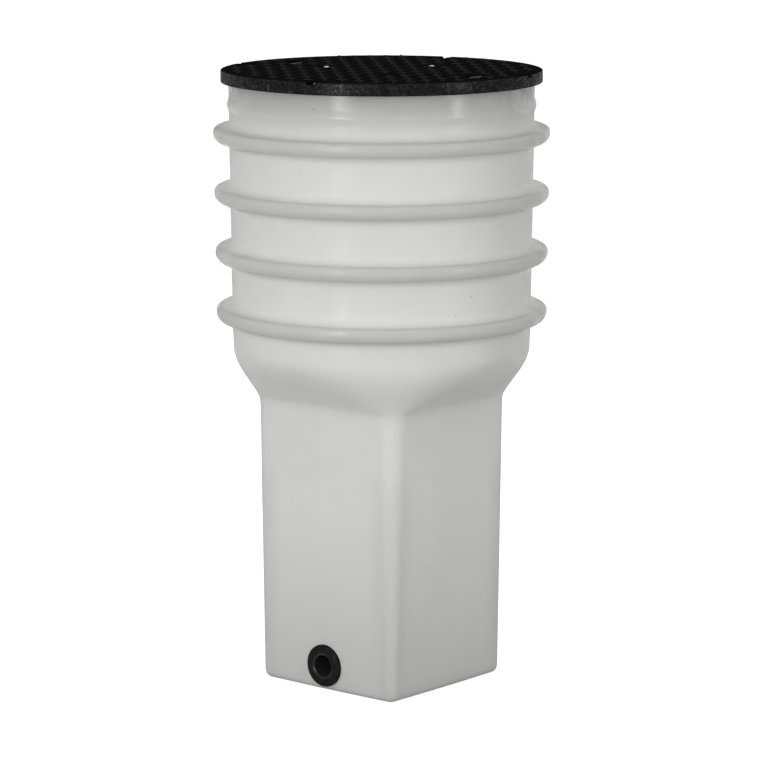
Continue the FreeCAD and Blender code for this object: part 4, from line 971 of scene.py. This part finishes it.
def background_rays(finish):
    """One for the rays that should see a white background: from the camera, in gloss and through glass."""
    rays = [finish.node("ShaderNodeLightPath", {}, {}, ray)
            for ray in ("Is Camera Ray", "Is Glossy Ray", "Is Transmission Ray")]
    return finish.node("ShaderNodeMath", {"operation": "ADD", "use_clamp": True},
                       {0: rays[0] + rays[1], 1: rays[2]})


def studio_floor():
    """A plain pale floor that fades into the white background and keeps the shadow."""
    bpy.ops.object.select_all(action="DESELECT")
    bpy.ops.mesh.primitive_plane_add(size=FLOOR_SIZE, location=(0, 0, 0))
    floor = bpy.context.object
    floor.name = "studio_floor"
    finish = new_finish("pale_floor")
    paint = finish.node("ShaderNodeBsdfDiffuse", {}, {"Color": FLOOR_GREY})
    strength = background_rays(finish) * FLOOR_GLOW
    glow = finish.node("ShaderNodeEmission", {}, {"Color": WHITE, "Strength": strength})
    both = finish.node("ShaderNodeAddShader", {}, {0: paint, 1: glow})
    finish.node("ShaderNodeOutputMaterial", {}, {"Surface": both})
    floor.data.materials.append(finish.owner)


def studio_world():
    """Soft light that is fullest from the camera's side, with a white background for the rays that see it."""
    world = bpy.data.worlds.new("studio")
    bpy.context.scene.world = world
    finish = Finish(world)
    seen = background_rays(finish)
    heading = finish.node("ShaderNodeTexCoord", {}, {}, "Generated")
    front = (math.sin(CAMERA_TURN), -math.cos(CAMERA_TURN), 0)
    facing = finish.node("ShaderNodeVectorMath", {"operation": "DOT_PRODUCT"},
                         {0: heading, 1: front}, "Value")
    soft = SKY_LEAST + finish.between(facing, *SKY_FADE) * SKY_GAIN
    sky = finish.node("ShaderNodeBackground", {}, {"Color": WHITE, "Strength": soft * (1 - seen) + seen})
    finish.node("ShaderNodeOutputWorld", {}, {"Surface": sky})


def soft_lamp(name, turn, distance, level, size, power, glints=True):
    """An upright soft lamp, turned this far in degrees from the camera's side, aimed at the barrel."""
    lamp = bpy.data.lights.new(name, "AREA")
    lamp.shape = "RECTANGLE"
    lamp.size, lamp.size_y = size
    lamp.energy = power
    angle = CAMERA_TURN + math.radians(turn)
    holder = bpy.data.objects.new(name, lamp)
    holder.visible_glossy = glints
    holder.location = (math.sin(angle) * distance, -math.cos(angle) * distance, level)
    aim = Vector((0, 0, AIM_LEVEL)) - holder.location
    holder.rotation_euler = aim.to_track_quat("-Z", "Y").to_euler()
    bpy.context.scene.collection.objects.link(holder)


def photo_camera():
    """The camera worked out from the photo: far off, higher than the lid and looking a little down."""
    lens = bpy.data.cameras.new("photo_camera")
    lens.sensor_width = CAMERA_SENSOR
    lens.lens = CAMERA_LENS
    lens.shift_x = CAMERA_SHIFT
    camera = bpy.data.objects.new("photo_camera", lens)
    camera.location = (math.sin(CAMERA_TURN) * CAMERA_DISTANCE, -math.cos(CAMERA_TURN) * CAMERA_DISTANCE,
                       CAMERA_LEVEL)
    camera.rotation_euler = (math.radians(90 - CAMERA_PITCH_DEGREES), 0, CAMERA_TURN)
    bpy.context.scene.collection.objects.link(camera)
    bpy.context.scene.camera = camera


# Modelled pieces

RUBBER = sleeve_rubber()

body = moulded_body()
body.data.materials.append(milky_polyethylene())
settle(body, "chamber", "white_polyethylene", "chamber_body")

lid = tread_lid()
lid.data.materials.clear()
lid.data.materials.append(grained_black())
settle(lid, "chamber", "black_plastic", "lid")

bars = lift_bar()
settle(bars, "chamber", "stainless_steel", "lift_bars")
bar_steel = metal("bar_steel", (0.09, 0.09, 0.088, 1), (0.04, 0.04, 0.039, 1), 0.50, (500, 30, 500))
bars.data.materials.append(bar_steel)

screws = disc_screw()
settle(screws, "chamber", "stainless_steel", "disc_screws")
screw_steel = metal("screw_steel", (0.70, 0.70, 0.69, 1), (0.56, 0.56, 0.55, 1), 0.20, (400, 400, 400))
screws.data.materials.append(screw_steel)

for name, side in (("inlet", -1), ("outlet", 1)):
    sleeve = pipe_sleeve(name + "_sleeve", side)
    sleeve.data.materials.append(RUBBER)
    settle(sleeve, "chamber", "black_rubber", name + "_grommet")

# Solids that stay

dress_solids(("chamber_body", "lid", "lift_bars", "disc_screws", "inlet_grommet", "outlet_grommet"))
dull_steel = metal("dull_bolt_steel", (0.20, 0.20, 0.195, 1), (0.09, 0.09, 0.088, 1), 0.42, (300, 300, 300))
for name in ("lid_bolts", "lid_bolt_washers"):
    for slot in frame["nodes"][name].material_slots:
        slot.material = dull_steel

# Light and camera

studio_floor()
studio_world()
soft_lamp("left_lamp", turn=-29, distance=3.6, level=1.1, size=(0.5, 2.1), power=42)
soft_lamp("right_lamp", turn=54, distance=4.2, level=1.3, size=(0.6, 2.1), power=28)
soft_lamp("back_lamp", turn=180, distance=4.0, level=1.3, size=(1.0, 2.1), power=100, glints=False)
photo_camera()
bpy.context.scene.view_settings.view_transform = "Standard"
